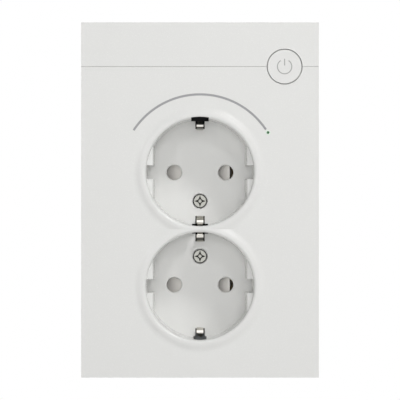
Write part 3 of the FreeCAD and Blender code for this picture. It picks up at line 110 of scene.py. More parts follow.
# Moulded earth sign, in millimetres: each stroke's place along Z, its width and its height, then
# the corners, and how far the strokes stand out of the base and reach into it
SIGN_STROKES = ((9.6, 0.4, 2.0), (8.5, 3.6, 0.4), (7.8, 2.4, 0.4), (7.1, 1.2, 0.4))
SIGN_CORNER = 0.12
SIGN_PROUD = 0.15
SIGN_SUNK = 0.05

# Studio, in metres: each lamp's way from the middle of the plate, how far off the lamps stand, and
# the round floor, which turns white between two distances from its middle
KEY_WAY = Vector((0.42, -0.53, 0.74))
ACCENTS = (("right_accent", Vector((0.235, -0.883, 0.407)), 1.3),
           ("left_accent", Vector((-0.425, -0.883, 0.198)), 0.8))
FRONT_WAY = Vector((0.0, -1.0, 0.05))
BACK_WAY = Vector((-0.3, 1.0, 0.5))
SMALL_LAMP_DISTANCE = 1.1
WIDE_LAMP_DISTANCE = 1.3
FLOOR_RADIUS = 4.0
FLOOR_DROP = 60 * MM
FLOOR_FADE = (0.18, 0.55)
SENSOR_WIDTH = 36.0


def linear(code):
    """An sRGB hex value such as #dfdfdd as linear red, green, blue and alpha."""
    values = [int(code[i:i + 2], 16) / 255 for i in (1, 3, 5)]
    return tuple(v / 12.92 if v <= 0.04045 else ((v + 0.055) / 1.055) ** 2.4 for v in values) + (1.0,)


def add(tree, kind, links=None, **settings):
    """One node with its settings, and with its sockets linked or set."""
    node = tree.nodes.new(kind)
    for name, value in settings.items():
        setattr(node, name, value)
    for name, value in (links or {}).items():
        if isinstance(value, bpy.types.NodeSocket):
            tree.links.new(value, node.inputs[name])
        else:
            node.inputs[name].default_value = value
    return node


def start_material(name, roughness, ior=None, metallic=0.0):
    """A fresh material: its tree, its surface shader and its object coordinates."""
    material = bpy.data.materials.new(name)
    material.use_nodes = True
    tree = material.node_tree
    tree.nodes.clear()
    shader = add(tree, "ShaderNodeBsdfPrincipled", {"Roughness": roughness, "Metallic": metallic})
    if ior is not None:
        shader.inputs["IOR"].default_value = ior
    add(tree, "ShaderNodeOutputMaterial", {"Surface": shader.outputs["BSDF"]})
    place = add(tree, "ShaderNodeTexCoord").outputs["Object"]
    return material, tree, shader, place


def per_mm(size):
    """The texture scale that makes one cell of a pattern this many millimetres wide."""
    return 1 / (size * MM)


def shaded(colour, share):
    """The same colour, lighter or darker by a share."""
    return tuple(min(1.0, c * share) for c in colour[:3]) + (1.0,)


def speckle(tree, place, size, detail=3.0, stretch=(1.0, 1.0, 1.0)):
    """A soft random value with cells of a size in millimetres, finer along a stretched axis."""
    mapped = add(tree, "ShaderNodeMapping", {"Vector": place, "Scale": stretch})
    noise = add(tree, "ShaderNodeTexNoise",
                {"Vector": mapped.outputs["Vector"], "Scale": per_mm(size), "Detail": detail})
    return noise.outputs["Fac"]


def band(tree, value, centre, half, soft):
    """1 within half a band's width of its centre, falling to 0 over a soft edge, in millimetres."""
    away = add(tree, "ShaderNodeMath", {0: value, 1: centre * MM}, operation="SUBTRACT")
    size = add(tree, "ShaderNodeMath", {0: away.outputs["Value"]}, operation="ABSOLUTE")
    edge = add(tree, "ShaderNodeMapRange", {
        "Value": size.outputs["Value"], "From Min": half * MM, "From Max": (half + soft) * MM,
        "To Min": 1.0, "To Max": 0.0})
    return edge.outputs["Result"]


def coloured(tree, shader, colour, *layers):
    """Colour a surface: a first tone, then each later one where its value is near 1."""
    for value, tone in layers:
        blend = add(tree, "ShaderNodeMix", {"Factor": value, "A": colour, "B": tone}, data_type="RGBA")
        colour = blend.outputs["Result"]
    tree.links.new(colour, shader.inputs["Base Color"])


def polished(tree, shader, value, low, high):
    """Let the roughness run from low to high with a noise value."""
    spread = add(tree, "ShaderNodeMapRange", {
        "Value": value, "From Min": NOISE_RANGE[0], "From Max": NOISE_RANGE[1],
        "To Min": low, "To Max": high})
    tree.links.new(spread.outputs["Result"], shader.inputs["Roughness"])


def raised(tree, shader, height, depth, strength=1.0):
    """Raise a surface with a height value, as deep as given in millimetres."""
    bump = add(tree, "ShaderNodeBump", {"Height": height, "Distance": depth * MM, "Strength": strength})
    tree.links.new(bump.outputs["Normal"], shader.inputs["Normal"])


def moulded(name, colour, roughness=0.45, grain=0.35, depth=0.006, tone=0.985, ior=1.49):
    """Injection-moulded plastic: a fine spark-eroded grain and a slight cloud in its tone."""
    material, tree, shader, place = start_material(name, roughness, ior)
    cloud = speckle(tree, place, size=14.0, detail=2.0)
    fine = speckle(tree, place, grain, detail=2.0)
    coloured(tree, shader, shaded(colour, tone), (cloud, colour))
    polished(tree, shader, fine, roughness * 0.92, roughness * 1.08)
    raised(tree, shader, fine, depth)
    return material


def rolled(name, colour, roughness=0.32, across=(1.0, 1.0, 8.0), line=0.12, depth=0.003, tone=0.88):
    """Rolled sheet or drawn metal: fine lines one way, and stains from handling."""
    material, tree, shader, place = start_material(name, roughness, metallic=1.0)
    lines = speckle(tree, place, line, detail=2.0, stretch=across)
    stain = speckle(tree, place, size=5.0, detail=4.0)
    coloured(tree, shader, shaded(colour, tone), (stain, colour))
    polished(tree, shader, lines, roughness * 0.7, roughness * 1.35)
    raised(tree, shader, lines, depth)
    return material


def smoked_acrylic(colour):
    """Smoked clear acrylic, milky from its light-spreading filler, so it looks grey when unlit."""
    guide, tree, shader, place = start_material("smoked_acrylic_guide", 0.28, 1.49)
    coloured(tree, shader, shaded(colour, 0.93), (speckle(tree, place, size=0.9), colour))
    shader.inputs["Subsurface Weight"].default_value = 0.15
    shader.inputs["Subsurface Radius"].default_value = (0.4 * MM, 0.4 * MM, 0.4 * MM)
    return guide


def polished_acrylic(colour):
    """Polished clear acrylic over a green lamp: a dark wet-looking dot."""
    pin, tree, shader, place = start_material("clear_acrylic_pin", 0.12, 1.49)
    coloured(tree, shader, shaded(colour, 0.7), (speckle(tree, place, size=0.4, detail=2.0), colour))
    shader.inputs["Coat Weight"].default_value = 0.6
    return pin


def shade_painted_nylon(colour):
    """Glass-filled nylon: faint fibre flow, pale at the ramps' high ends and darker with painted shade
    towards their deep feet.
    """
    nylon, tree, shader, place = start_material("glass_filled_nylon", 0.5, 1.53)
    flow = speckle(tree, place, size=0.5, stretch=(1.0, 3.0, 3.0))
    depth = add(tree, "ShaderNodeSeparateXYZ", {"Vector": place}).outputs["Y"]
    low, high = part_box("shutter_upper")
    # Painted shade: the shutter turns darker with depth along Y, towards the foot of each ramp
    foot = add(tree, "ShaderNodeMapRange", {"Value": depth, "From Min": low.y, "From Max": high.y})
    dull = shaded(colour, FOOT_SHADE_SHARE * (1 + FIBRE_SHARE) / 2)
    coloured(tree, shader, shaded(colour, FIBRE_SHARE), (flow, colour), (foot.outputs["Result"], dull))
    polished(tree, shader, flow, 0.42, 0.58)
    raised(tree, shader, flow, 0.01)
    return nylon


def nickel_plated_strip():
    """Nickel-plated bronze: warm silver with rolling lines, a pale stripe on each crest that is wear from
    the plugs and a painted highlight, painted shade under the crests of the upper clips, and painted
    shade deep in the housing."""
    strip, tree, shader, place = start_material("nickel_plated_bronze", 0.34, metallic=1.0)
    axes = add(tree, "ShaderNodeSeparateXYZ", {"Vector": place})
    crest_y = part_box("earth_strap")[0].y / MM
    # Pale stripe on each crest: wear from the plugs, and a painted highlight
    wear_and_glint = band(tree, axes.outputs["Y"], crest_y, WEAR_GLINT_HALF, WEAR_GLINT_EDGE)
    layers = [(wear_and_glint, linear("#f3f0e9"))]
    for height in UPPER_CREST_HEIGHTS:
        # Painted shade: a dark stripe under the crest of each upper clip, where its flank lies in shade
        painted_shade = band(tree, axes.outputs["Z"], height - SHADE_DROP, SHADE_HALF, SHADE_EDGE)
        layers.append((painted_shade, linear("#5b5953")))
    # Painted shade: the strip turns dark deep in the housing, towards the back
    deep = add(tree, "ShaderNodeMapRange", {
        "Value": axes.outputs["Y"], "From Min": PAINTED_SHADE_DEPTHS[0] * MM, "From Max": PAINTED_SHADE_DEPTHS[1] * MM})
    layers.append((deep.outputs["Result"], linear("#1f1e1c")))
    coloured(tree, shader, linear("#c9c6bd"), *layers)
    lines = speckle(tree, place, size=0.15, detail=2.0, stretch=(8.0, 1.0, 1.0))
    polished(tree, shader, lines, 0.28, 0.42)
    raised(tree, shader, lines, 0.003)
    return strip


def plated_screw_steel():
    """Zinc-plated steel: bright pressed head, painted shade on the walls in the cross, bright cross
    floor.
    """
    screw, tree, shader, place = start_material("zinc_plated_screw_steel", 0.26, metallic=1.0)
    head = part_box("cover_screws")[0].y / MM
    depth = add(tree, "ShaderNodeSeparateXYZ", {"Vector": place}).outputs["Y"]
    # Painted shade: the walls of the cross turn dark by their depth behind the head
    walls = band(tree, depth, head + CROSS_DEPTH, CROSS_HALF, CROSS_EDGE)
    coloured(tree, shader, linear("#c2c2bb"), (walls, linear("#363634")))
    lines = speckle(tree, place, size=0.1, detail=2.0, stretch=(1.0, 6.0, 1.0))
    polished(tree, shader, lines, 0.2, 0.34)
    raised(tree, shader, lines, 0.003)
    return screw


def galvanised_sheet():
    """Hot-dip galvanised steel: zinc crystals a few millimetres across over rolling lines."""
    sheet, tree, shader, place = start_material("galvanised_frame_sheet", 0.4, metallic=1.0)
    crystals = add(tree, "ShaderNodeTexVoronoi", {"Vector": place, "Scale": per_mm(4.5)})
    tone = add(tree, "ShaderNodeSeparateColor", {"Color": crystals.outputs["Color"]}).outputs["Red"]
    coloured(tree, shader, linear("#a9adb0"), (tone, linear("#c4c7c9")))
    polished(tree, shader, tone, 0.34, 0.48)
    raised(tree, shader, speckle(tree, place, size=0.2, detail=2.0, stretch=(1.0, 1.0, 8.0)), 0.004)
    return sheet


def solder_mask():
    """Glossy green solder mask, lighter over copper areas about 3 mm wide that stand up under it."""
    mask, tree, shader, place = start_material("green_solder_mask", 0.3, 1.5)
    cells = add(tree, "ShaderNodeTexVoronoi", {"Vector": place, "Scale": per_mm(3.0)},
                distance="CHEBYCHEV", feature="F1")
    gap = add(tree, "ShaderNodeMapRange", {
        "Value": cells.outputs["Distance"], "From Min": 0.42, "From Max": 0.46}).outputs["Result"]
    coloured(tree, shader, linear("#2c7a4c"), (gap, linear("#1f5a38")))
    raised(tree, shader, gap, 0.03, strength=0.5)
    shader.inputs["Coat Weight"].default_value = 0.3
    return mask


def enamelled_turns(name, axis):
    """Enamelled copper wire: turns 0.25 mm apart, drawn 0.4 mm apart so that they show."""
    wire, tree, shader, place = start_material(name, 0.3, metallic=0.8)
    turns = add(tree, "ShaderNodeTexWave",
                {"Vector": place, "Scale": per_mm(0.4) / WAVES_PER_UNIT, "Distortion": 0.2},
                wave_type="BANDS", bands_direction=axis)
    coloured(tree, shader, linear("#7d3d1c"), (turns.outputs["Fac"], linear("#c77a45")))
    raised(tree, shader, turns.outputs["Fac"], 0.1)
    return wire


def sleeved_can():
    """Round capacitors: a dark shrunk plastic sleeve, and a bare pressed aluminium top."""
    can, tree, shader, place = start_material("sleeved_aluminium_can", 0.3, 1.5)
    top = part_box("bulk_capacitors")[0].y
    height = add(tree, "ShaderNodeSeparateXYZ", {"Vector": place}).outputs["Y"]
    sleeve = add(tree, "ShaderNodeMapRange", {
        "Value": height, "From Min": top + 0.1 * MM, "From Max": top + 0.2 * MM}).outputs["Result"]
    coloured(tree, shader, linear("#b9bbbd"), (sleeve, linear("#26303c")))
    bare = add(tree, "ShaderNodeMath", {0: 1.0, 1: sleeve}, operation="SUBTRACT")
    tree.links.new(bare.outputs["Value"], shader.inputs["Metallic"])
    raised(tree, shader, speckle(tree, place, size=0.3, detail=2.0), 0.004)
    return can


def seen_directly(tree):
    """1 for rays that show the surroundings: from the camera, in gloss and through glass."""
    rays = add(tree, "ShaderNodeLightPath")
    seen = rays.outputs["Is Camera Ray"]
    for name in ("Is Glossy Ray", "Is Transmission Ray"):
        larger = add(tree, "ShaderNodeMath", {0: seen, 1: rays.outputs[name]}, operation="MAXIMUM")
        seen = larger.outputs["Value"]
    return seen


def pale_floor():
    """Matt pale floor that turns to plain white away from its middle, for what shows it directly."""
    material, tree, shader, place = start_material("pale_studio_floor", 0.9, 1.4)
    shader.inputs["Base Color"].default_value = linear("#efefee")
    reach = add(tree, "ShaderNodeVectorMath", {0: place}, operation="LENGTH").outputs["Value"]
    far = add(tree, "ShaderNodeMapRange", {
        "Value": reach, "From Min": FLOOR_FADE[0], "From Max": FLOOR_FADE[1]},
        interpolation_type="SMOOTHSTEP")
    share = add(tree, "ShaderNodeMath", {0: seen_directly(tree), 1: far.outputs["Result"]},
                operation="MULTIPLY")
    white = add(tree, "ShaderNodeEmission", {"Color": (1, 1, 1, 1), "Strength": 1.0})
    mixed = add(tree, "ShaderNodeMixShader", {
        0: share.outputs["Value"], 1: shader.outputs["BSDF"], 2: white.outputs["Emission"]})
    output = [node for node in tree.nodes if node.type == "OUTPUT_MATERIAL"][0]
    tree.links.new(mixed.outputs["Shader"], output.inputs["Surface"])
    return material


def dress(material, *names):
    """Put one material on CAD nodes."""
    for name in names:
        node = NODES[name]
        if not node.material_slots:
            node.data.materials.append(material)
        for slot in node.material_slots:
            slot.material = material


class CoverFinish(bpy.types.PropertyGroup):
    """Colours of the pieces that face the room."""

    shell: bpy.props.FloatVectorProperty(
        name="Cover", description="Colour of the cover, the cap and the button", subtype="COLOR",
        size=4, min=0, max=1, default=linear("#e3e3e1"))
    arc: bpy.props.FloatVectorProperty(
        name="Arc light", description="Colour of the unlit arc", subtype="COLOR",
        size=4, min=0, max=1, default=linear("#a2a2a4"))
    status: bpy.props.FloatVectorProperty(
        name="Status light", description="Colour of the small status light", subtype="COLOR",
        size=4, min=0, max=1, default=linear("#2f6b3c"))
    ink: bpy.props.FloatVectorProperty(
        name="Printed mark", description="Colour of the printed mark on the button", subtype="COLOR",
        size=4, min=0, max=1, default=linear("#a9a9a7"))
    shutter: bpy.props.FloatVectorProperty(
        name="Shutters", description="Colour of the sliding shutters", subtype="COLOR",
        size=4, min=0, max=1, default=linear("#f4f1ec"))


class MarkSizes(bpy.types.PropertyGroup):
    """Sizes of the printed mark on the button and of the lens around the status light."""

    mark_radius: bpy.props.FloatProperty(
        name="Mark radius", description="Radius of the middle of the mark's ring", subtype="DISTANCE",
        unit="LENGTH", default=2.6 * MM)
    mark_line: bpy.props.FloatProperty(
        name="Mark line", description="Width of the mark's lines", subtype="DISTANCE",
        unit="LENGTH", default=0.36 * MM)
    mark_gap: bpy.props.FloatProperty(
        name="Mark gap", description="Half of the angle left open at the top of the ring",
        subtype="ANGLE", unit="ROTATION", default=math.radians(32))
    mark_height: bpy.props.FloatProperty(
        name="Mark height", description="Thickness of the printed ink", subtype="DISTANCE",
        unit="LENGTH", default=0.02 * MM)
    lens_radius: bpy.props.FloatProperty(
        name="Lens radius", description="Outer radius of the lens ring around the status light",
        subtype="DISTANCE", unit="LENGTH", default=0.95 * MM)
    lens_hole: bpy.props.FloatProperty(
        name="Lens hole", description="Radius of the hole in the lens ring", subtype="DISTANCE",
        unit="LENGTH", default=0.5 * MM)
    lens_height: bpy.props.FloatProperty(
        name="Lens height", description="How far the lens ring stands proud of the cover",
        subtype="DISTANCE", unit="LENGTH", default=0.03 * MM)


class StudioSettings(bpy.types.PropertyGroup):
    """Where the camera stands and how strong the lights are."""

    distance: bpy.props.FloatProperty(
        name="Camera distance", description="From the lens to the front of the plate",
        subtype="DISTANCE", unit="LENGTH", default=1.0)
    picture_height: bpy.props.FloatProperty(
        name="Picture height", description="Height of what the picture shows at the plate",
        subtype="DISTANCE", unit="LENGTH", default=144.67 * MM)
    key: bpy.props.FloatProperty(
        name="Main light", description="Power of the light from the upper right", subtype="POWER",
        unit="POWER", default=4.75)
    key_size: bpy.props.FloatProperty(
        name="Main light size", description="Width of the square main light", subtype="DISTANCE",
        unit="LENGTH", default=0.2)
    front: bpy.props.FloatProperty(
        name="Front light", description="Power of the wide soft light from the front",
        subtype="POWER", unit="POWER", default=3.7)
    front_size: bpy.props.FloatProperty(
        name="Wide light size", description="Width of the square front and back lights",
        subtype="DISTANCE", unit="LENGTH", default=0.38)
    accent: bpy.props.FloatProperty(
        name="Accent light", description="Power of each small light that draws a gleam on the lips",
        subtype="POWER", unit="POWER", default=0.7)
    accent_size: bpy.props.FloatProperty(
        name="Accent light size", description="Width of each small light", subtype="DISTANCE",
        unit="LENGTH", default=0.12)
    back: bpy.props.FloatProperty(
        name="Back light", description="Power of the wide soft light for views of the back",
        subtype="POWER", unit="POWER", default=4.5)
    fill: bpy.props.FloatProperty(
        name="Fill light", description="Strength of the even light from all sides", default=0.235)


def deselect_all():
    """Leave edit mode and select nothing."""
    if bpy.context.object and bpy.context.object.mode != "OBJECT":
        bpy.ops.object.mode_set(mode="OBJECT")
    bpy.ops.object.select_all(action="DESELECT")


def select_alone(piece):
    """Select one piece and make it active."""
    deselect_all()
    piece.select_set(True)
    bpy.context.view_layer.objects.active = piece


def settle(piece, name, material, body):
    """Put a finished piece's place in its mesh, and give it its name, finish and body."""
    select_alone(piece)
    bpy.ops.object.transform_apply(location=True, rotation=True, scale=True)
    piece.name = name
    piece.data.name = name
    piece.data.materials.clear()
    piece.data.materials.append(material)
    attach(piece, body)


def merge(piece):
    """Close the loose triangles of a copied node, and smooth its round faces."""
    select_alone(piece)
    bpy.ops.object.mode_set(mode="EDIT")
    bpy.ops.mesh.select_all(action="SELECT")
    bpy.ops.mesh.remove_doubles(threshold=MERGE_DISTANCE)
    bpy.ops.mesh.normals_make_consistent(inside=False)
    bpy.ops.object.mode_set(mode="OBJECT")
    bpy.ops.mesh.customdata_custom_splitnormals_clear()
    bpy.ops.object.shade_smooth_by_angle(angle=SMOOTH_ANGLE)


def yielding(node, name, material):
    """Stand a piece in for a spring's node, which gives way along an axis as its joint moves; the piece
    stays fixed to the housing.
    """
    piece = bpy.data.objects.new(name, NODES[node].data.copy())
    bpy.context.scene.collection.objects.link(piece)
    merge(piece)
    settle(piece, name, material, "housing")
    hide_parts(node)
    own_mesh(piece)


def front_middle(node):
    """The middle of a node's front, where it comes nearest to the room."""
    low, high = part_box(node)
    return Vector(((low.x + high.x) / 2, low.y, (low.z + high.z) / 2))


def pick_faces(piece, wanted):
    """Select the faces whose middle is wanted; the piece is in object mode before and after."""
    for face in piece.data.polygons:
        face.select = wanted(face.center)
    for edge in piece.data.edges:
        edge.select = False
    for vertex in piece.data.vertices:
        vertex.select = False
    for face in piece.data.polygons:
        if face.select:
            for index in face.vertices:
                piece.data.vertices[index].select = True


def thicken(piece, height):
    """Give a flat piece that faces -Y its thickness towards -Y."""
    select_alone(piece)
    bpy.ops.object.mode_set(mode="EDIT")
    bpy.ops.mesh.select_all(action="SELECT")
    bpy.ops.mesh.extrude_region_move(TRANSFORM_OT_translate={"value": (0, -height, 0)})
    bpy.ops.mesh.select_all(action="SELECT")
    bpy.ops.mesh.normals_make_consistent(inside=False)
    bpy.ops.object.mode_set(mode="OBJECT")


def flat_ring(centre, middle_radius, line, height, gap=0.0, segments=120):
    """A thin ring that stands a height proud of its centre towards -Y, open at its top by a gap."""
    deselect_all()
    bpy.ops.mesh.primitive_circle_add(
        vertices=segments, radius=middle_radius + line / 2, fill_type="NGON",
        location=centre, rotation=(math.pi / 2, 0, 0))
    ring = bpy.context.object
    bpy.ops.object.mode_set(mode="EDIT")
    bpy.ops.mesh.select_all(action="SELECT")
    bpy.ops.mesh.inset(thickness=line)
    bpy.ops.mesh.delete(type="ONLY_FACE")
    bpy.ops.object.mode_set(mode="OBJECT")
    if gap:
        pick_faces(ring, lambda middle: abs(math.atan2(middle.x, middle.y)) < gap)
        bpy.ops.object.mode_set(mode="EDIT")
        bpy.ops.mesh.delete(type="FACE")
        bpy.ops.object.mode_set(mode="OBJECT")
    thicken(ring, height)
    return ring


def rounded_bar(centre, width, length, corner, height, segments):
    """A bar with rounded corners that stands a height proud of its centre towards -Y."""
    deselect_all()
    bpy.ops.mesh.primitive_plane_add(size=1, location=centre, rotation=(math.pi / 2, 0, 0))
    bar = bpy.context.object
    bar.scale = (width, length, 1)
    bpy.ops.object.transform_apply(location=False, rotation=True, scale=True)
    bpy.ops.object.mode_set(mode="EDIT")
    bpy.ops.mesh.select_all(action="SELECT")
    bpy.ops.mesh.bevel(offset=corner, segments=segments, affect="VERTICES")
    thicken(bar, height)
    return bar


def join(pieces):
    """Join pieces into the first one."""
    deselect_all()
    for piece in pieces:
        piece.select_set(True)
    bpy.context.view_layer.objects.active = pieces[0]
    bpy.ops.object.join()
    return pieces[0]


class SOCKET_OT_cover(bpy.types.Operator):
    """Finish the cover, the cap, the push button and the two light guides"""

    bl_idname = "wall_socket.cover"
    bl_label = "Cover and light guides"

    def execute(self, context):
        finish = context.scene.socket_finish
        # White ABS and polycarbonate blend, satin from a fine eroded mould: soft wide highlights
        cover = moulded("moulded_white_abs", tuple(finish.shell), roughness=0.26, grain=0.30, depth=0.002)
        dress(cover, "front_cover", "top_cap", "power_button")
        dress(smoked_acrylic(tuple(finish.arc)), "arc_light_guide")
        dress(polished_acrylic(tuple(finish.status)), "status_light_pipe")
        return {"FINISHED"}


class SOCKET_OT_button_mark(bpy.types.Operator):
    """Print the on and off mark on the push button: an open ring with an upright bar"""

    bl_idname = "wall_socket.button_mark"
    bl_label = "Mark on the push button"

    def execute(self, context):
        sizes = context.scene.socket_marks
        centre = front_middle("power_button")
        # Pad-printed grey ink: matt, very thin, with slightly uneven cover
        ink = moulded("pad_printed_grey_ink", tuple(context.scene.socket_finish.ink), roughness=0.6,
                      grain=0.15, depth=0.001, tone=0.93)
        ring = flat_ring(centre, sizes.mark_radius, sizes.mark_line, sizes.mark_height, sizes.mark_gap)
        bar = rounded_bar(centre + Vector((0, 0, sizes.mark_radius * BAR_RISE)), sizes.mark_line,
                          sizes.mark_radius * BAR_LENGTH, sizes.mark_line * BAR_CORNER,
                          sizes.mark_height, segments=5)
        settle(join([ring, bar]), "printed_button_mark", ink, "push_button")
        return {"FINISHED"}


class SOCKET_OT_status_lens(bpy.types.Operator):
    """Add the pale lens ring round the status light"""

    bl_idname = "wall_socket.status_lens"
    bl_label = "Lens ring of the status light"

    def execute(self, context):
        sizes = context.scene.socket_marks
        ring = flat_ring(front_middle("status_light_pipe"), (sizes.lens_hole + sizes.lens_radius) / 2,
                         sizes.lens_radius - sizes.lens_hole, sizes.lens_height, segments=64)
        # Frosted clear acrylic rim of the light pipe, slightly green from the lamp behind it
        lens = moulded("frosted_acrylic_rim", linear("#dfeadf"), roughness=0.35, grain=0.1,
                       depth=0.001, tone=0.96)
        settle(ring, "status_light_rim", lens, "housing")
        return {"FINISHED"}


class SOCKET_OT_shutters(bpy.types.Operator):
    """Finish the shutters, their springs and the tray that guides them"""

    bl_idname = "wall_socket.shutters"
    bl_label = "Shutters and tray"

    def execute(self, context):
        dress(shade_painted_nylon(tuple(context.scene.socket_finish.shutter)), "shutter_upper", "shutter_lower")
        # Black polyamide: dull, so that nothing shows through the pin holes beside the shutters
        tray = moulded("black_polyamide_tray", linear("#2c2c2e"), roughness=0.55, grain=0.5,
                       depth=0.008, tone=0.9, ior=1.53)
        dress(tray, "shutter_tray")
        # Music wire: bright drawn steel with fine lines
        wire = rolled("drawn_spring_wire", linear("#b4b4b6"), roughness=0.24, across=(6.0, 1.0, 1.0),
                      line=0.08)
        for side in ("upper", "lower"):
            self.spring(side, wire)
        return {"FINISHED"}

    def spring(self, side, wire):
        """A coil that shortens against its seat as the shutter opens; here it stays fixed to the housing.
        """
        node = "shutter_spring_" + side
        yielding(node, side + "_coil_spring", wire)


class SOCKET_OT_earthing(bpy.types.Operator):
    """Finish the earth strap and all four clips"""

    bl_idname = "wall_socket.earthing"
    bl_label = "Earth strap and clips"

    def execute(self, context):
        dress(nickel_plated_strip(), "earth_strap", "inner_earth_clips")
        return {"FINISHED"}


class SOCKET_OT_fixings(bpy.types.Operator):
    """Finish the screws, the rivets, the inserts and the steel frame"""

    bl_idname = "wall_socket.fixings"
    bl_label = "Screws, rivets and steel frame"

    def execute(self, context):
        dress(plated_screw_steel(), "cover_screws", "lid_screws", "shell_screws")
        # Zinc-plated rivet steel: satin, with lines from the closing tool
        rivet = rolled("zinc_plated_rivet_steel", linear("#bfc1c3"), roughness=0.36,
                       across=(1.0, 6.0, 1.0), line=0.14)
        dress(rivet, "frame_rivets", "strap_rivets")
        dress(galvanised_sheet(), "mounting_frame")
        # Turned brass inserts with fine rings from the lathe
        insert = rolled("turned_brass", linear("#c9a15a"), roughness=0.28, across=(1.0, 8.0, 1.0),
                        line=0.1)
        dress(insert, "threaded_inserts")
        return {"FINISHED"}


class SOCKET_OT_base(bpy.types.Operator):
    """Finish the base housing and the release buttons"""

    bl_idname = "wall_socket.base"
    bl_label = "Base housing and release buttons"

    def execute(self, context):
        # Polyamide base: off-white, matt, with a coarser grain than the cover
        base = moulded("polyamide_base", linear("#dedcd6"), roughness=0.55, grain=0.6, depth=0.012,
                       tone=0.97, ior=1.53)
        dress(base, "base_housing")
        # Grey acetal buttons: smooth and slightly waxy
        release = moulded("grey_acetal", linear("#6b6f76"), roughness=0.4, grain=0.4, depth=0.006,
                          tone=0.94, ior=1.48)
        dress(release, "line_release_button", "earth_release_button", "neutral_release_button")
        return {"FINISHED"}


class SOCKET_OT_back_mark(bpy.types.Operator):
    """Add the moulded earth sign above the middle terminal"""

    bl_idname = "wall_socket.back_mark"
    bl_label = "Moulded earth sign"

    def execute(self, context):
        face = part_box("base_housing")[1].y + SIGN_PROUD * MM
        base = NODES["base_housing"].material_slots[0].material
        bars = [rounded_bar((0, face, z * MM), width * MM, length * MM, SIGN_CORNER * MM,
                            (SIGN_PROUD + SIGN_SUNK) * MM, segments=3)
                for z, width, length in SIGN_STROKES]
        settle(join(bars), "moulded_earth_sign", base, "housing")
        return {"FINISHED"}


class SOCKET_OT_contacts(bpy.types.Operator):
    """Finish the contact bars, the terminal cages and the clamping leaves"""

    bl_idname = "wall_socket.contacts"
    bl_label = "Contacts and terminals"

    def execute(self, context):
        # Rolled brass strip, tarnished to a dull brown
        brass = rolled("rolled_contact_brass", linear("#8f7a55"), roughness=0.4, across=(1.0, 1.0, 7.0),
                       line=0.15, tone=0.8)
        dress(brass, "neutral_contact_bar", "line_contact_bar", "switched_contact")
        # Tinned brass cages: pale, slightly yellow, satin
        cage = rolled("tinned_brass_cage", linear("#c8c3b4"), roughness=0.34, across=(1.0, 7.0, 1.0),
                      line=0.18)
        dress(cage, "line_terminal_cage", "earth_terminal_cage", "neutral_terminal_cage")
        # Cold-rolled stainless leaves: cool and bright, with fine rolling lines
        leaf = rolled("stainless_spring_leaf", linear("#bdbec0"), roughness=0.22,
                      across=(1.0, 1.0, 9.0), line=0.1)
        for wire in ("line", "earth", "neutral"):
            self.leaf(wire, leaf)
        return {"FINISHED"}

    def leaf(self, wire, material):
        """A leaf that folds down under its release button, which lets the wire go; here it stays fixed to
        the housing.
        """
        yielding(wire + "_terminal_spring", wire + "_clamping_leaf", material)


class SOCKET_OT_electronics(bpy.types.Operator):
    """Finish the electronics shell, the circuit board and the parts on it"""

    bl_idname = "wall_socket.electronics"
    bl_label = "Electronics"

    def execute(self, context):
        dress(solder_mask(), "circuit_board", "radio_board")
        dress(enamelled_turns("relay_coil_winding", "Y"), "relay_coil")
        dress(enamelled_turns("transformer_wire_turns", "Z"), "transformer_winding")
        dress(sleeved_can(), "bulk_capacitors")
        self.cases()
        self.metals()
        self.small_parts()
        return {"FINISHED"}

    def cases(self):
        """The shell, and the moulded cases of the parts on the board."""
        # Flame-proofed ABS shell, charcoal and matt
        shell = moulded("charcoal_abs_shell", linear("#343537"), roughness=0.5, grain=0.5, depth=0.008,
                        tone=0.92)
        dress(shell, "electronics_rear_shell", "electronics_lid")
        # Moulded relay and switch cases: near black, dull, with a fine mould grain
        case = moulded("black_relay_case", linear("#26272a"), roughness=0.38, depth=0.004, tone=0.85)
        dress(case, "relay_case", "relay_base", "tact_switch_body")
        # Epoxy chip bodies: black and matt
        chip = moulded("epoxy_chip_body", linear("#1f2022"), roughness=0.55, grain=0.2, tone=0.85)
        dress(chip, "power_chips")

    def metals(self):
        """The transformer's core, the relay's iron and contacts, and the radio's can."""
        # Sintered ferrite: dark grey, matt and grainy
        core = moulded("sintered_ferrite", linear("#3a3a3d"), roughness=0.6, grain=0.4, depth=0.02,
                       tone=0.8, ior=2.0)
        dress(core, "transformer_core")
        # Nickel-plated soft iron: grey satin
        iron = rolled("nickel_plated_iron", linear("#a5a6a8"), roughness=0.38, across=(1.0, 6.0, 1.0),
                      line=0.2)
        dress(iron, "relay_yoke", "relay_armature")
        # Silver alloy contacts: warm and bright
        silver = rolled("silver_alloy_contact", linear("#c6bfae"), roughness=0.3, across=(1.0, 1.0, 5.0))
        dress(silver, "relay_fixed_contact", "relay_moving_contact")
        # Tinned steel can: bright, with rolling lines
        can = rolled("tinned_shield_can", linear("#c2c4c6"), roughness=0.28, across=(7.0, 1.0, 1.0),
                     line=0.2)
        dress(can, "radio_shield")

    def small_parts(self):
        """Lacquered parts with the slight orange peel of their coat, a moulded plunger and lamp resin."""
        finishes = (
            ("yellow_capacitor_box", "#cfa23a", 0.3, 0.8, 0.006, ("safety_capacitor",)),
            ("blue_varistor_lacquer", "#2a57a0", 0.22, 1.4, 0.02, ("varistor",)),
            ("green_resistor_lacquer", "#7fa39a", 0.35, 0.9, 0.02, ("fuse_resistor",)),
            ("white_acetal_plunger", "#e2e1dd", 0.4, 0.3, 0.004, ("tact_switch_plunger",)),
            ("clear_lamp_resin", "#efe6b4", 0.15, 0.8, 0.003, ("guide_leds", "status_led")),
        )
        for name, code, roughness, grain, depth, nodes in finishes:
            dress(moulded(name, linear(code), roughness, grain, depth, tone=0.94), *nodes)


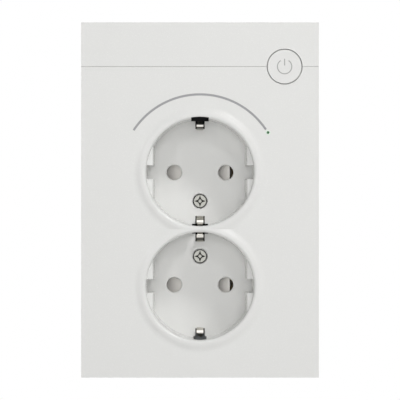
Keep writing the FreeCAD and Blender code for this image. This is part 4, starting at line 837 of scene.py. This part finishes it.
class SOCKET_OT_studio(bpy.types.Operator):
    """Set up the floor, the white surroundings, the lights and the camera"""

    bl_idname = "wall_socket.studio"
    bl_label = "Studio"

    def execute(self, context):
        settings = context.scene.socket_studio
        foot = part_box("front_cover")[0].z
        cap_low, cap_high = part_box("top_cap")
        middle = Vector((0, cap_low.y, (foot + cap_high.z) / 2))
        self.floor(CAD_BOX[0].z - FLOOR_DROP)
        self.world(context, settings.fill)
        self.lamps(settings, middle)
        self.camera(context, settings, middle)
        return {"FINISHED"}

    def floor(self, height):
        """A wide round floor under the part."""
        deselect_all()
        bpy.ops.mesh.primitive_circle_add(
            vertices=96, radius=FLOOR_RADIUS, fill_type="NGON", location=(0, 0, height))
        floor = bpy.context.object
        floor.name = "studio_floor"
        floor.data.materials.append(pale_floor())

    def world(self, context, fill):
        """White to the eye and in gloss, and a weaker even light on the surfaces."""
        world = bpy.data.worlds.new("studio_world")
        context.scene.world = world
        world.use_nodes = True
        tree = world.node_tree
        tree.nodes.clear()
        even = add(tree, "ShaderNodeBackground", {"Color": (1, 1, 1, 1), "Strength": fill})
        white = add(tree, "ShaderNodeBackground", {"Color": (1, 1, 1, 1), "Strength": 1.0})
        mixed = add(tree, "ShaderNodeMixShader", {
            0: seen_directly(tree), 1: even.outputs["Background"], 2: white.outputs["Background"]})
        add(tree, "ShaderNodeOutputWorld", {"Surface": mixed.outputs["Shader"]})

    def lamps(self, settings, middle):
        """One main light, two small ones for the gleam on the lips, and two wide soft ones."""
        self.lamp("main_light", middle, KEY_WAY, SMALL_LAMP_DISTANCE, settings.key_size, settings.key)
        for name, way, share in ACCENTS:
            self.lamp(name, middle, way, SMALL_LAMP_DISTANCE, settings.accent_size,
                      settings.accent * share)
        # The wide lamps stay out of gloss, where the plain white surroundings already show
        for name, way, power in (("front_light", FRONT_WAY, settings.front),
                                 ("back_light", BACK_WAY, settings.back)):
            wide = self.lamp(name, middle, way, WIDE_LAMP_DISTANCE, settings.front_size, power)
            wide.visible_glossy = False

    def lamp(self, name, target, way, distance, size, power):
        """A square soft light that looks at a target."""
        data = bpy.data.lights.new(name, "AREA")
        data.size = size
        data.energy = power
        lamp = bpy.data.objects.new(name, data)
        bpy.context.scene.collection.objects.link(lamp)
        lamp.location = target + way.normalized() * distance
        lamp.rotation_euler = (target - lamp.location).to_track_quat("-Z", "Y").to_euler()
        return lamp

    def camera(self, context, settings, middle):
        """Square on to the plate, as far away and as narrow as the photograph's view."""
        data = bpy.data.cameras.new("front_view")
        data.sensor_width = SENSOR_WIDTH
        data.lens = SENSOR_WIDTH * settings.distance / settings.picture_height
        data.clip_start = 0.05
        camera = bpy.data.objects.new("front_view", data)
        context.scene.collection.objects.link(camera)
        camera.location = middle + Vector((0, -settings.distance, 0))
        camera.rotation_euler = (math.pi / 2, 0, 0)
        context.scene.camera = camera
        context.scene.view_settings.view_transform = "Standard"


class SOCKET_PT_panel(bpy.types.Panel):
    """Lists the steps in their order, with the sizes and colours they use"""

    bl_idname = "SOCKET_PT_panel"
    bl_label = "Wall socket"
    bl_space_type = "VIEW_3D"
    bl_region_type = "UI"
    bl_category = "Wall socket"

    def draw(self, context):
        for group in (context.scene.socket_finish, context.scene.socket_marks,
                      context.scene.socket_studio):
            box = self.layout.box()
            for name in group.bl_rna.properties.keys():
                if name not in ("rna_type", "name"):
                    box.prop(group, name)
        for step in STEPS:
            self.layout.operator(step.bl_idname)


STEPS = (SOCKET_OT_cover, SOCKET_OT_button_mark, SOCKET_OT_status_lens, SOCKET_OT_shutters,
         SOCKET_OT_earthing, SOCKET_OT_fixings, SOCKET_OT_base, SOCKET_OT_back_mark,
         SOCKET_OT_contacts, SOCKET_OT_electronics, SOCKET_OT_studio)
GROUPS = (("socket_finish", CoverFinish), ("socket_marks", MarkSizes), ("socket_studio", StudioSettings))


def register():
    """Make the settings, the steps and the panel known."""
    for name, group in GROUPS:
        bpy.utils.register_class(group)
        setattr(bpy.types.Scene, name, bpy.props.PointerProperty(type=group))
    for step in STEPS + (SOCKET_PT_panel,):
        bpy.utils.register_class(step)


def unregister():
    """Take them all away again."""
    for step in reversed(STEPS + (SOCKET_PT_panel,)):
        bpy.utils.unregister_class(step)
    for name, group in reversed(GROUPS):
        delattr(bpy.types.Scene, name)
        bpy.utils.unregister_class(group)


def main():
    """Run every step in order."""
    register()
    deselect_all()
    for step in STEPS:
        group, name = step.bl_idname.split(".")
        getattr(getattr(bpy.ops, group), name)()


if __name__ == "__main__":
    main()
